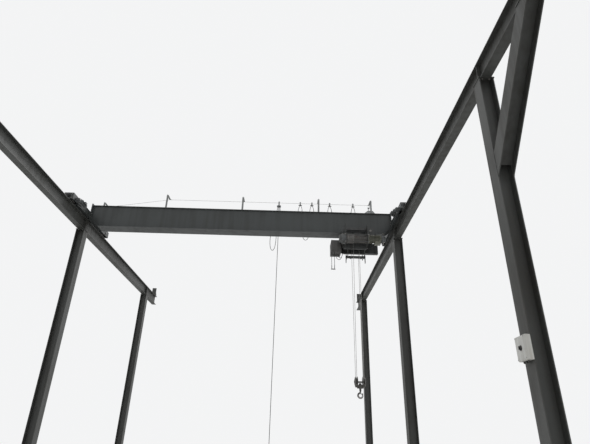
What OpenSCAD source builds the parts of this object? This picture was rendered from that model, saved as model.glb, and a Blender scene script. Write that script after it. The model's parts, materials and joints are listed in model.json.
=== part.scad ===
// Overhead bridge crane on two free-standing steel runways. Millimetres, +Z up.
// X runs across the span, Y along the runways, and the origin is on the floor
// at the centre of the runway plan.

/* [Runway] */
// Distance between the two runway centre lines
span = 8500; // [8000:50:10000]
// Distance between neighbouring columns of one runway
bay = 6000; // [5500:50:7000]
// Number of whole bays
bay_count = 3; // [2:1:3]
// Height of the underside of the runway beams
beam_underside = 6600; // [6300:50:7500]
// Length of beam past the outer columns
overhang = 1400; // [1300:50:2000]
// Depth of the runway I-beam
beam_d = 330; // [280:10:400]
// Flange width of the runway I-beam
beam_w = 160; // [140:5:180]
// Flange thickness of the runway I-beam
beam_tf = 12; // [9:1:20]
// Web thickness of the runway I-beam
beam_tw = 8; // [6:1:14]
// Width of the rail bar
rail_w = 50; // [40:1:54]
// Height of the rail bar
rail_h = 30; // [25:1:60]
// Height of the end stop plates above the beam
stop_h = 300; // [260:10:360]

/* [Columns] */
// Column depth across the runway
col_d = 220; // [180:5:240]
// Column flange width along the runway
col_b = 220; // [180:5:260]
// Column flange thickness
col_tf = 14; // [9:1:20]
// Column web thickness
col_tw = 9; // [6:1:14]
// Side of the square base plate
base_side = 400; // [360:10:460]
// Thickness of the base plate
base_t = 25; // [20:1:40]
// Spacing of the anchor holes
anchor_pitch = 300; // [290:5:320]
// Diameter of an anchor hole
anchor_hole_d = 28; // [22:1:32]
// Height of the knee braces below the beam
brace_drop = 1550; // [1200:50:1900]
// Reach of the knee braces along the beam
brace_run = 1400; // [1100:50:1700]
// Flange width of a knee brace
brace_b = 240; // [180:10:260]

/* [Bridge] */
// Place of the bridge along the runways at rest
bridge_y = 3150; // [0:50:4000]
// Depth of the box girder
girder_d = 640; // [560:10:700]
// Width of the girder's bottom flange
flange_w = 380; // [360:10:400]
// Thickness of the girder's bottom flange
flange_t = 15; // [12:1:25]
// Width of the girder's top plate
top_w = 300; // [260:10:340]
// Thickness of the girder's top plate
top_t = 12; // [8:1:20]
// Width of the girder box over its webs
box_w = 220; // [200:10:230]
// Thickness of the girder's webs
web_t = 8; // [6:1:12]
// Underside of the girder above the top of the rail, negative when lower
girder_drop = -230; // [-260:5:-200]
// Length of the sloped cut under each end of the girder
end_cut = 250; // [200:10:300]
// Rise of the sloped cut at the end plates
end_rise = 190; // [150:10:220]
// Length of an end truck
truck_l = 2500; // [2200:50:2800]
// Width of an end truck
truck_w = 240; // [230:5:260]
// Height of an end truck
truck_h = 170; // [160:5:200]
// Plate thickness of an end truck
truck_t = 10; // [8:1:14]
// Rolling radius of a bridge wheel
wheel_r = 80; // [75:1:100]
// Distance from a truck end to its wheel axle
wheel_inset = 200; // [190:5:260]
// Length of a rubber buffer on a truck end
buffer_l = 70; // [50:5:100]
// Height of the festoon wire above the girder
wire_rise = 530; // [430:10:600]

/* [Trolley] */
// Place of the trolley across the span at rest
trolley_x = 3190; // [2800:10:3230]
// Rolling radius of a trolley wheel
roller_r = 50; // [45:1:60]
// Distance between the trolley wheels of one side
roller_base = 660; // [600:10:700]
// Radius of the drum at the bottom of its grooves
drum_r = 118; // [105:1:125]
// Length of the grooved part of the drum
drum_l = 500; // [440:10:540]
// Diameter of the hoist rope
rope_d = 10; // [8:1:12]
// Height of the drum axis from the girder's underside, negative when lower
drum_drop = -255; // [-270:5:-240]
// Offset of the drum axis from the girder centre
drum_off = 390; // [380:5:420]

/* [Hook] */
// Height of the block sheave axle above the floor at rest
block_z = 2925; // [2500:25:4000]
// Rope pitch radius of the block sheaves
sheave_r = 105; // [95:1:115]
// Distance between the two block sheaves
sheave_gap = 180; // [160:5:200]
// Middle of the rope falls, from the trolley centre
reeve_x = -60; // [-100:5:0]
// Inside radius of the hook's bowl
hook_throat = 36; // [30:1:40]
// Thickness of the hook at its bowl
hook_t = 40; // [34:1:46]

/* [Hidden] */
$fn = 48;
fit = 0.05;      // radial clearance of a turning fit
seat = 0.3;      // gap under a rolling wheel
bay_half = bay_count * bay / 2;
beam_half = bay_half + overhang;
rail_x = span / 2;
beam_top = beam_underside + beam_d;
rail_top = beam_top + rail_h;
cap_t = 15;
stop_y = beam_half - 250;

girder_z = rail_top + girder_drop;
girder_top = girder_z + girder_d;
truck_z = rail_top + 20;
axle_z = rail_top + wheel_r + seat;
axle_r = 22.5;
axle_out = 12;               // length of a wheel axle past the truck's side
wheelbase = truck_l - 2 * wheel_inset;
end_t = 25;
truck_in = rail_x - truck_w / 2;
girder_half = truck_in - end_t + 1;

roller_z = girder_z + flange_t + roller_r + seat;
frame_off = flange_w / 2 + 25;
frame_t = 15;

drum_z = girder_z + drum_drop;
drum_x0 = -360;              // left end of the drum space, from the trolley centre
drum_x1 = drum_x0 + drum_l + 60;
plate_t = 15;
fall_x = [reeve_x - sheave_gap / 2, reeve_x + sheave_gap / 2];
falls_z = drum_z - 5;        // height where the four falls end
side_y = frame_off + frame_t;    // outer face of the trolley's side plates
reeve_low = girder_z - 460;  // underside of the reeving frame
guard_z = girder_z - 650;    // underside of the rope guard's bar
cabinet = [270, 400, 330];   // control cabinet across, along and upwards
cabinet_x = drum_x0 - 100;   // right side of the cabinet, from the trolley centre
cabinet_z = girder_z - 550;
rod_l = 460;                 // length of the limit rods
pin_r = 20;                  // sheave axles and the hook's shank
head_z = -60;                // top of the crosshead, from the sheave axle
head_h = 90;
bowl_z = head_z - 240;       // centre of the hook's bowl, from the sheave axle

wire_y = 400;
wire_z = girder_top + wire_rise;
wire_r = 4;
anchor_x = [-3950, 3640];    // ends of the wire
anchor_z = girder_top + 230; // height of the stay's lower end
clamp_z = [wire_z - 110, wire_z - 70];   // clamp of the festoon cable's fixed end
post_x = [-2200, -30, 2140];
carrier_x = [1000, 1620, 1960, 2480, 3160];
cable_d = 14;
pendant_d = 14;
station_top = 1350;
saddle_z = wire_z - 70;      // height where the cable lies on a carrier
box_z = wire_z - 145;        // underside of the junction box on the lead carrier
// Routes of the festoon cable in the plane of its wire, as [x, height over the wire]
festoon_route = [
    [3612, -110], [3612, -160], [3600, -400], [3570, -780], [3430, -950], [3260, -780],
    [3220, -250], [3160, -70], [3100, -250], [3050, -740], [2820, -910], [2590, -740],
    [2540, -250], [2480, -70], [2420, -250], [2390, -840], [2220, -1050], [2050, -840],
    [2020, -250], [1960, -70], [1900, -250], [1890, -970], [1790, -1160], [1690, -970],
    [1680, -250], [1620, -70], [1560, -250], [1520, -710], [1320, -890], [1120, -710],
    [1048, -280], [1038, -180], [1038, -145]
];
slack_route = [
    [962, -145], [962, -185], [930, -320], [850, -700], [790, -1200], [870, -1500],
    [950, -1200], [978, -600], [986, -185], [986, -145]
];
pendant_x = carrier_x[0] + 12;
pendant_low = station_top - 190;   // lower end of the pendant cable, inside its case
pendant_route = [for (k = [0 : 14]) [pendant_x, box_z - k * (box_z - pendant_low) / 14]];

// Shared shapes

// Box given by its lowest and highest corners
module span_box(a, b) {
    translate(a) cube(b - a);
}

// Rolled section in the XY plane: depth along X, flanges across Y
module h_section(depth, width, flange, web) {
    for (side = [-1, 1])
        translate([side * (depth - flange) / 2, 0]) square([flange, width], center = true);
    square([depth - 2 * flange + 2, web], center = true);
}

// Cylinder along X between two places
module rod_x(x0, x1, y, z, r) {
    translate([x0, y, z]) rotate([0, 90, 0]) cylinder(r = r, h = x1 - x0);
}

// Cylinder along Y between two places
module rod_y(y0, y1, x, z, r) {
    translate([x, y0, z]) rotate([-90, 0, 0]) cylinder(r = r, h = y1 - y0);
}

// Plate in an XZ plane, given by its outline, between two places along Y
module plate_xz(outline, y0, y1) {
    translate([0, y1, 0]) rotate([90, 0, 0]) linear_extrude(y1 - y0) polygon(outline);
}

// Plate in a YZ plane between two places along X, with the flat shape as its child
module plate_yz(x0, x1) {
    translate([x0, 0, 0]) rotate([90, 0, 90]) linear_extrude(x1 - x0) children();
}

// Motor body with long fins, cooling cowl and flange, its axis along Z from 0 to l
module finned_motor(r, l, fins) {
    cylinder(r = r + 8, h = 14);
    translate([0, 0, 13]) cylinder(r = r - 8, h = l - 57);
    for (i = [0 : fins - 1])
        rotate([0, 0, i * 360 / fins])
            span_box([r - 12, -2, 16], [r, 2, l - 46]);
    translate([0, 0, l - 45]) cylinder(r = r, h = 37);
    translate([0, 0, l - 9]) cylinder(r1 = r, r2 = r - 9, h = 9);
}

// Tube along a route in an XZ plane
module swept_tube(route, y, d, sides) {
    n = len(route);
    pts = [for (i = [0 : n - 1])
        let (a = route[max(i - 1, 0)],
             b = route[min(i + 1, n - 1)],
             t = (b - a) / norm(b - a))
        for (k = [0 : sides - 1])
            [route[i][0] - t[1] * d / 2 * cos(k * 360 / sides),
             y + d / 2 * sin(k * 360 / sides),
             route[i][1] + t[0] * d / 2 * cos(k * 360 / sides)]];
    walls = [for (i = [0 : n - 2], k = [0 : sides - 1])
        [i * sides + k, i * sides + (k + 1) % sides,
         (i + 1) * sides + (k + 1) % sides, (i + 1) * sides + k]];
    first = [for (k = [0 : sides - 1]) sides - 1 - k];
    last = [for (k = [0 : sides - 1]) (n - 1) * sides + k];
    polyhedron(points = pts, faces = concat([first], walls, [last]));
}

// Columns and runways

module column(side, index) {
    color([0.16, 0.17, 0.17])
    translate([side * rail_x, -bay_half + (index - 1) * bay, 0]) {
        difference() {
            translate([-base_side / 2, -base_side / 2, 0])
                cube([base_side, base_side, base_t]);
            for (sx = [-1, 1], sy = [-1, 1])
                translate([sx * anchor_pitch / 2, sy * anchor_pitch / 2, -1])
                    cylinder(d = anchor_hole_d, h = base_t + 2);
        }
        translate([0, 0, base_t])
            linear_extrude(beam_underside - cap_t - base_t)
                h_section(col_d, col_b, col_tf, col_tw);
        translate([-col_d / 2 - 10, -col_b / 2 - 10, beam_underside - cap_t])
            cube([col_d + 20, col_b + 20, cap_t]);
    }
}

module runway_beam(side) {
    color([0.17, 0.18, 0.18])
    translate([side * rail_x, 0, 0]) {
        for (z = [beam_underside, beam_top - beam_tf])
            span_box([-beam_w / 2, -beam_half, z], [beam_w / 2, beam_half, z + beam_tf]);
        span_box([-beam_tw / 2, -beam_half, beam_underside + beam_tf - 1],
                 [beam_tw / 2, beam_half, beam_top - beam_tf + 1]);
        for (i = [0 : bay_count])
            span_box([-beam_w / 2 + 8, -bay_half + i * bay - 5, beam_underside + beam_tf - 1],
                     [beam_w / 2 - 8, -bay_half + i * bay + 5, beam_top - beam_tf + 1]);
    }
}

module rail(side) {
    color([0.30, 0.28, 0.26])
    translate([side * rail_x, 0, 0])
        span_box([-rail_w / 2, -stop_y + 20, beam_top], [rail_w / 2, stop_y - 20, rail_top]);
}

// One brace beside a column; dir is the way along Y that it leans
module knee_brace(dir) {
    a = atan2(brace_drop, brace_run);
    low = brace_b / 2 / cos(a);
    out = brace_b / 2 / sin(a);
    top = beam_underside - cap_t;
    drop = brace_drop - cap_t;
    module slab(x0, x1, k)
        translate([x1, 0, 0]) rotate([0, -90, 0])
            linear_extrude(x1 - x0)
                polygon([[top - drop - low * k, 0], [top - drop + low * k, 0],
                         [top, dir * (brace_run - out * k)],
                         [top, dir * (brace_run + out * k)]]);
    for (s = [-1, 1])
        slab(s * (col_d - col_tf) / 2 - col_tf / 2, s * (col_d - col_tf) / 2 + col_tf / 2, 1);
    slab(-col_d / 2 + col_tf - 1, col_d / 2 - col_tf + 1, col_tw / brace_b);
    span_box([-col_d / 2 - 10, min(dir * (brace_run - out - 20), dir * (brace_run + out + 20)), top],
             [col_d / 2 + 10, max(dir * (brace_run - out - 20), dir * (brace_run + out + 20)),
              beam_underside]);
}

module knee_braces(side) {
    color([0.16, 0.17, 0.17]) {
        translate([side * rail_x, -bay_half + col_b / 2, 0]) knee_brace(1);
        translate([side * rail_x, -bay_half + bay - col_b / 2, 0]) knee_brace(-1);
    }
}

module end_stops() {
    color([0.17, 0.18, 0.18])
    for (sx = [-1, 1], sy = [-1, 1])
        translate([sx * rail_x, sy * stop_y, beam_top]) {
            span_box([-beam_w / 2, min(0, sy * 20), 0], [beam_w / 2, max(0, sy * 20), stop_h]);
            for (s = [-1, 1])
                translate([s * 50 + 5, sy * 19, 0]) rotate([0, -90, 0])
                    linear_extrude(10)
                        polygon([[0, 0], [stop_h - 40, 0], [60, sy * 190], [0, sy * 190]]);
        }
}

module isolator_box() {
    color([0.80, 0.80, 0.78])
    translate([rail_x - col_d / 2, -bay_half + bay, 0]) {
        span_box([-70, -125, 2490], [0, 115, 2770]);
        span_box([-76, -118, 2497], [-69, 108, 2763]);
    }
}

// Bridge

module bridge_girder() {
    low = [[-girder_half, girder_z + end_rise], [-girder_half + end_cut, girder_z],
           [girder_half - end_cut, girder_z], [girder_half, girder_z + end_rise]];
    lap = top_t - 1;
    color([0.15, 0.16, 0.16])
    translate([0, bridge_y, 0]) {
        plate_xz(concat(low, [for (i = [3 : -1 : 0]) low[i] + [0, flange_t]]),
                 -flange_w / 2, flange_w / 2);
        span_box([-girder_half, -top_w / 2, girder_top - top_t],
                 [girder_half, top_w / 2, girder_top]);
        for (y = [-box_w / 2, box_w / 2 - web_t])
            plate_xz(concat([for (p = low) p + [0, flange_t - 1]],
                            [[girder_half, girder_top - lap], [-girder_half, girder_top - lap]]),
                     y, y + web_t);
        for (s = [-1, 1])
            translate([s * (truck_in - end_t / 2), 0, 0])
                span_box([-end_t / 2, -flange_w / 2, girder_z + end_rise],
                         [end_t / 2, flange_w / 2, girder_top + 30]);
    }
}

module end_truck(side) {
    boss_r = 34;
    boss_in = 55;
    pocket = wheel_r + 30;
    color([0.16, 0.17, 0.17])
    translate([side * rail_x, bridge_y, 0]) {
        difference() {
            span_box([-truck_w / 2, -truck_l / 2, truck_z],
                     [truck_w / 2, truck_l / 2, truck_z + truck_h]);
            span_box([-truck_w / 2 + truck_t, -truck_l / 2 + truck_t, truck_z + truck_t],
                     [truck_w / 2 - truck_t, truck_l / 2 - truck_t, truck_z + truck_h - truck_t]);
            for (s = [-1, 1])
                span_box([-truck_w / 2 + truck_t, s * wheelbase / 2 - pocket, truck_z - 1],
                         [truck_w / 2 - truck_t, s * wheelbase / 2 + pocket,
                          truck_z + truck_t + 1]);
        }
        for (s = [-1, 1]) {
            rod_x(-truck_w / 2 - axle_out, truck_w / 2 + axle_out, s * wheelbase / 2, axle_z, axle_r);
            rod_x(-truck_w / 2 + truck_t - 1, -boss_in, s * wheelbase / 2, axle_z, boss_r);
            rod_x(boss_in, truck_w / 2 - truck_t + 1, s * wheelbase / 2, axle_z, boss_r);
        }
    }
}

module bridge_wheel(side, end) {
    tread = rail_w + 12;
    color([0.32, 0.31, 0.30])
    translate([side * rail_x, bridge_y + end * wheelbase / 2, axle_z])
        rotate([0, 90, 0])
            difference() {
                union() {
                    cylinder(r = wheel_r, h = tread, center = true, $fn = 72);
                    for (s = [-1, 1])
                        translate([0, 0, s * (tread / 2 + 7)])
                            cylinder(r = wheel_r + 12, h = 14, center = true, $fn = 72);
                    cylinder(r = 38, h = 100, center = true);
                }
                cylinder(r = axle_r + fit, h = 120, center = true);
            }
}

module travel_motor(side) {
    y0 = bridge_y - wheelbase / 2;
    case_t = 90;
    case_r = 62;
    pinion_r = 54;
    pinion = [90, 26];      // input shaft from the axle, along Y and Z
    motor_x = truck_in - 72;
    motor_z = axle_z + pinion[1];
    color([0.22, 0.23, 0.24])
    mirror([side < 0 ? 1 : 0, 0, 0])
        difference() {
            union() {
                translate([0, y0, axle_z])
                    plate_yz(truck_in - case_t, truck_in) {
                        circle(r = case_r);
                        translate(pinion) circle(r = pinion_r);
                        polygon([[0, -case_r], [pinion[0], pinion[1] - pinion_r],
                                 [pinion[0], pinion[1] + pinion_r], [0, case_r]]);
                    }
                rod_x(truck_in - case_t - 14, truck_in - case_t + 1, y0, axle_z, 40);
                translate([motor_x, y0 + pinion[0] + 38, motor_z])
                    rotate([-90, 0, 0]) finned_motor(52, 250, 16);
                span_box([motor_x - 84, y0 + 190, motor_z - 34], [motor_x - 40, y0 + 275, motor_z + 34]);
            }
            rod_x(truck_in - axle_out - 2, truck_in + 1, y0, axle_z, axle_r + 1);
        }
}

module truck_buffers() {
    color([0.06, 0.06, 0.06])
    for (sx = [-1, 1], sy = [-1, 1])
        translate([sx * rail_x, bridge_y + sy * truck_l / 2, truck_z + truck_h / 2])
            rotate([-sy * 90, 0, 0]) {
                cylinder(r = 48, h = 14);
                translate([0, 0, 13]) cylinder(r1 = 38, r2 = 30, h = buffer_l - 13);
            }
}

// Angle post on the girder's far edge, with an arm out over the wire
module wire_post(x, z) {
    span_box([x - 40, top_w / 2 - 60, girder_top], [x + 40, top_w / 2, girder_top + 8]);
    span_box([x - 25, top_w / 2 - 8, girder_top + 7], [x + 25, top_w / 2, z + 20]);
    span_box([x - 4, top_w / 2 - 50, girder_top + 7], [x + 4, top_w / 2 - 7, z + 20]);
    span_box([x - 25, top_w / 2 - 1, z + 12], [x + 25, wire_y + 15, z + 20]);
}

module festoon_posts() {
    color([0.25, 0.25, 0.24])
    translate([0, bridge_y, 0])
        for (x = post_x) {
            wire_post(x, wire_z);
            span_box([x - 4, wire_y - 15, wire_z + wire_r], [x + 4, wire_y + 15, wire_z + 13]);
        }
}

module festoon_wire() {
    dz = wire_z - anchor_z;
    run = post_x[0] - anchor_x[0];
    right = anchor_x[1];
    foot = girder_top + 7;
    color([0.45, 0.45, 0.44])
    translate([0, bridge_y, 0]) {
        rod_x(post_x[0], right, wire_y, wire_z, wire_r);
        translate([post_x[0] + 5, wire_y, wire_z])
            rotate([0, -90 - atan2(dz, run), 0])
                cylinder(r = wire_r - 0.5, h = norm([dz, run]) + 12);
        wire_post(anchor_x[0], anchor_z);
        span_box([anchor_x[0] - 25, wire_y - 12, anchor_z - 14],
                 [anchor_x[0] + 5, wire_y + 12, anchor_z + 13]);
        wire_post(right, wire_z);
        span_box([right - 5, wire_y - 12, clamp_z[0]], [right + 5, wire_y + 12, wire_z + 13]);
        span_box([right - 50, wire_y - 14, clamp_z[0]], [right - 4, wire_y + 14, clamp_z[1]]);
        plate_xz([[right - 330, foot], [right + 210, foot], [right + 40, foot + 218],
                  [right - 100, foot + 218]], top_w / 2 - 18, top_w / 2 - 7);
    }
}

module festoon_carriers() {
    color([0.12, 0.12, 0.12])
    translate([0, bridge_y + wire_y, 0])
        for (x = carrier_x) {
            lead = x == carrier_x[0];
            saddle = saddle_z + cable_d / 2 + seat;
            rod_y(-14, 14, x, wire_z + wire_r + 12 + seat, 12);
            for (s = [-1, 1])
                span_box([x - 20, s * 16 - 3, lead ? box_z + 56 : saddle + 9],
                         [x + 20, s * 16 + 3, wire_z + 40]);
            if (lead)
                span_box([x - 56, -24, box_z], [x + 56, 24, box_z + 57]);
            else
                span_box([x - 50, -19, saddle], [x + 50, 19, saddle + 10]);
        }
}

module festoon_cable() {
    color([0.08, 0.08, 0.08])
        for (route = [festoon_route, slack_route])
            swept_tube([for (p = route) [p[0], wire_z + p[1]]], bridge_y + wire_y, cable_d, 8);
}

module pendant_cable() {
    color([0.08, 0.08, 0.08])
        swept_tube(pendant_route, bridge_y + wire_y, pendant_d, 8);
}

module pendant_station() {
    low = station_top - 320;
    top = station_top - 40;
    color([0.75, 0.62, 0.10])
    translate([pendant_x, bridge_y + wire_y, 0]) {
        difference() {
            union() {
                span_box([-38, -33, low], [38, 33, top]);
                translate([0, 0, top - 1]) cylinder(r1 = 24, r2 = 12, h = station_top - top + 1);
            }
            for (i = [0 : 5])
                translate([0, -30, top - 40 - i * 42]) rotate([90, 0, 0])
                    cylinder(r = 14, h = 10);
            translate([0, 0, pendant_low - 2]) cylinder(d = pendant_d + 2, h = 200);
        }
        for (i = [0 : 5])
            translate([0, -28, top - 40 - i * 42]) rotate([90, 0, 0])
                cylinder(r = 12, h = 12);
    }
}

// Trolley and hoist

module trolley_frame() {
    w = 450;
    beam_x = 380;
    color([0.17, 0.18, 0.18])
    translate([trolley_x, bridge_y, 0]) {
        for (s = [0, 1])
            mirror([0, s, 0]) {
                // Side plate with its lower corners cut and a lightening hole over each beam
                difference() {
                    plate_xz([[-w + 60, girder_z - 190], [w - 60, girder_z - 190], [w, girder_z - 120],
                              [w, roller_z + 50], [w - 40, roller_z + 90], [-w + 40, roller_z + 90],
                              [-w, roller_z + 50], [-w, girder_z - 120]], frame_off, side_y);
                    for (x = [-150, 150])
                        rod_y(frame_off - 1, side_y + 1, x, girder_z + 20, 55);
                }
                for (sx = [-1, 1])
                    rod_y(flange_w / 2 - 52, side_y + 10, sx * roller_base / 2, roller_z, 15);
            }
        for (sx = [-1, 1])
            span_box([sx * beam_x - 40, -frame_off - 1, girder_z - 130],
                     [sx * beam_x + 40, frame_off + 1, girder_z - 50]);
    }
}

module trolley_wheels() {
    color([0.34, 0.33, 0.32])
    translate([trolley_x, bridge_y, roller_z])
        for (sx = [-1, 1], sy = [-1, 1])
            translate([sx * roller_base / 2, sy * (flange_w / 2 - 45), 0])
                rotate([-sy * 90, 0, 0])
                    difference() {
                        union() {
                            cylinder(r = roller_r, h = 50);
                            translate([0, 0, 50]) cylinder(r = roller_r + 12, h = 12);
                        }
                        translate([0, 0, -1]) cylinder(r = 15 + fit, h = 64);
                    }
}

module hoist_frame() {
    color([0.17, 0.18, 0.18])
    translate([trolley_x, bridge_y, 0]) {
        for (x = [drum_x0 - plate_t, drum_x1])
            difference() {
                span_box([x, -drum_off - 150, drum_z - 145],
                         [x + plate_t, -frame_off - frame_t, girder_z + 100]);
                rod_x(x - 1, x + plate_t + 1, -drum_off, drum_z, 25 + fit);
            }
        span_box([drum_x0 - 1, -drum_off + 60, girder_z + 30],
                 [drum_x1 + 1, -drum_off + 100, girder_z + 90]);
        for (z = [drum_z - 130, drum_z + 75])
            rod_x(drum_x0 - plate_t - 12, drum_x1 + plate_t + 12, -drum_off - 138, z, 10);
    }
}

module rope_drum() {
    pitch = rope_d * 1.25;
    color([0.36, 0.35, 0.34])
    translate([trolley_x + drum_x0 + 5, bridge_y - drum_off, drum_z])
        rotate([0, 90, 0])
            union() {
                rotate_extrude($fn = 64)
                    polygon(concat([[0, 0], [drum_r + 17, 0], [drum_r + 17, 14], [drum_r, 14]],
                        [for (i = [0 : floor((drum_l - 10) / pitch) - 1], k = [0, 1])
                            [drum_r + k * rope_d * 0.4, 30 + i * pitch + k * pitch / 2]],
                        [[drum_r, drum_l + 30], [drum_r + 17, drum_l + 30],
                         [drum_r + 17, drum_l + 44], [0, drum_l + 44]]));
                translate([0, 0, -5 - plate_t - 10]) cylinder(r = 25, h = drum_l + 60 + 2 * plate_t + 20);
            }
}

module hoist_gearbox() {
    color([0.20, 0.21, 0.22])
    translate([trolley_x + drum_x0 - plate_t, bridge_y - drum_off, drum_z])
        difference() {
            rotate([0, -90, 0]) {
                cylinder(r = 140, h = 120);
                translate([0, 0, 119]) cylinder(r = 105, h = 40);
                translate([60, 60, 0]) cylinder(r = 80, h = 120);
            }
            rod_x(-15, 1, 0, 0, 26);
        }
}

module hoist_motor() {
    x0 = drum_x1 + plate_t;
    color([0.24, 0.25, 0.26])
    translate([trolley_x, bridge_y - drum_off, drum_z]) {
        difference() {
            rod_x(x0, x0 + 40, 0, 0, 115);
            rod_x(x0 - 1, x0 + 15, 0, 0, 26);
        }
        rod_x(x0 + 39, x0 + 350, 0, 0, 92);
        for (i = [0 : 15])
            translate([x0 + 45, 0, 0]) rotate([i * 22.5, 0, 0])
                span_box([0, -3, 80], [280, 3, 108]);
        span_box([x0 + 180, -75, -150], [x0 + 330, 75, -70]);
    }
}

module hoist_brake() {
    x0 = drum_x1 + plate_t + 350;
    color([0.20, 0.21, 0.22])
    translate([trolley_x, bridge_y - drum_off, drum_z]) {
        rod_x(x0, x0 + 55, 0, 0, 100);
        rod_x(x0 + 54, x0 + 125, 0, 0, 84);
        for (y = [-70, 70])
            span_box([x0 + 30, y - 12, -120], [x0 + 95, y + 12, 150]);
        span_box([x0 + 40, -70, -10], [x0 + 135, 70, 10]);
    }
}

module trolley_drive() {
    x0 = roller_base / 2;
    case_t = 84;
    motor_z = roller_z + 18;
    color([0.22, 0.23, 0.24])
    translate([trolley_x, bridge_y, 0])
        difference() {
            union() {
                rod_y(side_y, side_y + case_t, x0, roller_z, 58);
                rod_y(side_y, side_y + case_t, x0 - 72, motor_z, 50);
                plate_xz([[x0, roller_z - 58], [x0, roller_z + 58], [x0 - 72, motor_z + 50],
                          [x0 - 72, motor_z - 50]], side_y, side_y + case_t);
                translate([x0 - 112, side_y + 60, motor_z])
                    rotate([0, -90, 0]) finned_motor(48, 240, 16);
            }
            rod_y(side_y - 1, side_y + 12, x0, roller_z, 16);
        }
}

module counterweight() {
    x = [-340, 600];
    y = [side_y + 20, side_y + 130];
    low = girder_z - 405;
    slab = 60;
    color([0.13, 0.13, 0.13])
    translate([trolley_x, bridge_y, 0]) {
        for (i = [0 : 4])
            span_box([x[0], y[0], low + i * slab], [x[1], y[1], low + i * slab + slab - 4]);
        span_box([x[0] + 6, y[0] + 6, low + 1], [x[1] - 6, y[1] - 6, low + 5 * slab - 5]);
        for (px = [-250, 250])
            span_box([px - 40, side_y, low + 230], [px + 40, y[0] + 1, low + 370]);
        for (px = [x[0] + 60, x[1] - 60])
            translate([px, (y[0] + y[1]) / 2, low - 16]) cylinder(r = 12, h = 5 * slab + 28);
    }
}

module control_cabinet() {
    low = [cabinet_x - cabinet[0], -cabinet[1] / 2, cabinet_z];
    high = low + cabinet;
    color([0.13, 0.13, 0.14])
    translate([trolley_x, bridge_y, 0]) {
        span_box(low, high);
        span_box([low[0] + 8, low[1] - 8, low[2] + 8], [high[0] - 8, low[1] + 1, high[2] - 8]);
        for (y = [-150, 150])
            span_box([high[0] - 20, y - 15, high[2] - 70], [high[0] + 80, y + 15, girder_z - 130]);
    }
}

module reeving_frame() {
    x = [-440, 250];
    top = girder_z - 190;
    color([0.17, 0.18, 0.18])
    translate([trolley_x, bridge_y, 0]) {
        for (s = [0, 1])
            mirror([0, s, 0]) {
                plate_xz([[x[0] + 40, reeve_low], [x[1] - 40, reeve_low], [x[1], reeve_low + 40],
                          [x[1], top - 1], [x[0], top - 1], [x[0], reeve_low + 40]], 170, 200);
                span_box([x[0] + 50, 150, reeve_low], [x[1] - 50, 171, reeve_low + 10]);
                for (bx = [x[0] + 20, x[1] - 100])
                    span_box([bx, 170, top - 2], [bx + 80, frame_off, girder_z - 130]);
            }
        for (bx = [-360, x[1] - 50])
            span_box([bx, -171, girder_z - 340], [bx + 30, 171, girder_z - 240]);
        rod_y(-171, 171, reeve_x, falls_z, pin_r);
        span_box([fall_x[1] - 25, -171, falls_z], [fall_x[1] + 25, -sheave_r + 20, falls_z + 40]);
    }
}

module upper_sheave() {
    groove = sheave_gap / 2 - rope_d / 2 - seat;
    color([0.30, 0.30, 0.30])
    translate([trolley_x + reeve_x, bridge_y + sheave_r, falls_z])
        rotate([90, 0, 0])
            difference() {
                rotate_extrude()
                    polygon([[0, -12], [groove + 16, -12], [groove + 16, -9], [groove, -6],
                             [groove, 6], [groove + 16, 9], [groove + 16, 12], [0, 12]]);
                cylinder(r = 20 + fit, h = 60, center = true);
            }
}

module rope_guard() {
    color([0.24, 0.24, 0.24])
    translate([trolley_x, bridge_y, 0]) {
        span_box([-320, -30, guard_z], [190, 30, guard_z + 55]);
        for (x = [-326, 184])
            translate([0, 0, guard_z])
                plate_yz(x, x + 12)
                    polygon([[-45, 75], [-45, -100], [-20, -140], [20, -140], [45, -100], [45, 75]]);
        for (x = [-290, 150]) {
            span_box([x - 6, -200, guard_z + 12], [x + 6, 200, guard_z + 42]);
            for (s = [-1, 1])
                span_box([x - 6, s * 185 - 15, guard_z + 25], [x + 6, s * 185 + 15, reeve_low]);
        }
    }
}

module limit_rods() {
    low = cabinet_z - rod_l;
    color([0.24, 0.24, 0.24])
    translate([trolley_x + cabinet_x - cabinet[0], bridge_y, 0]) {
        for (x = [15, 90])
            translate([x, -120, low]) cylinder(r = 9, h = rod_l);
        span_box([-5, -130, low - 20], [110, -110, low + 2]);
    }
}

// Hook, block and ropes

module hoist_ropes() {
    run = falls_z - block_z;
    dy = sheave_r - (drum_off - drum_r - rope_d * 0.9 - 0.5);
    color([0.20, 0.20, 0.20])
    translate([trolley_x, bridge_y, block_z]) {
        translate([fall_x[0], -sheave_r, 0])
            rotate([atan2(-dy, run), 0, 0])
                cylinder(r = rope_d / 2, h = norm([dy, run]), $fn = 16);
        for (p = [[fall_x[0], sheave_r], [fall_x[1], sheave_r], [fall_x[1], -sheave_r]])
            translate([p[0], p[1], 0])
                cylinder(r = rope_d / 2, h = run, $fn = 16);
    }
}

module hook_block() {
    half = sheave_gap / 2;
    cover_r = sheave_r + 20;
    head_mid = head_z - head_h / 2;
    color([0.40, 0.33, 0.08])
    translate([trolley_x + reeve_x, bridge_y, block_z])
        difference() {
            union() {
                for (s = [0, 1])
                    mirror([s, 0, 0]) {
                        // Dished cover outside the sheave
                        translate([half + 18, 0, 0]) rotate([0, 90, 0])
                            cylinder(r1 = cover_r, r2 = cover_r * 0.55, h = 22);
                        // Inner plate with a tail down to the crosshead
                        plate_yz(half - 28, half - 18) {
                            circle(r = cover_r);
                            translate([-44, head_mid]) square([88, -head_mid]);
                            translate([0, head_mid]) circle(r = 44);
                        }
                        rod_x(half + 39, half + 52, 0, 0, 30);
                    }
                rod_x(-half - 40, half + 40, 0, 0, pin_r);
                rod_x(-half + 27, half - 27, 0, head_mid, 42);
                translate([0, 0, head_z - head_h]) cylinder(r = 38, h = head_h);
            }
            translate([0, 0, head_z - head_h - 5]) cylinder(r = pin_r + fit, h = head_h + 10);
        }
}

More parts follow.
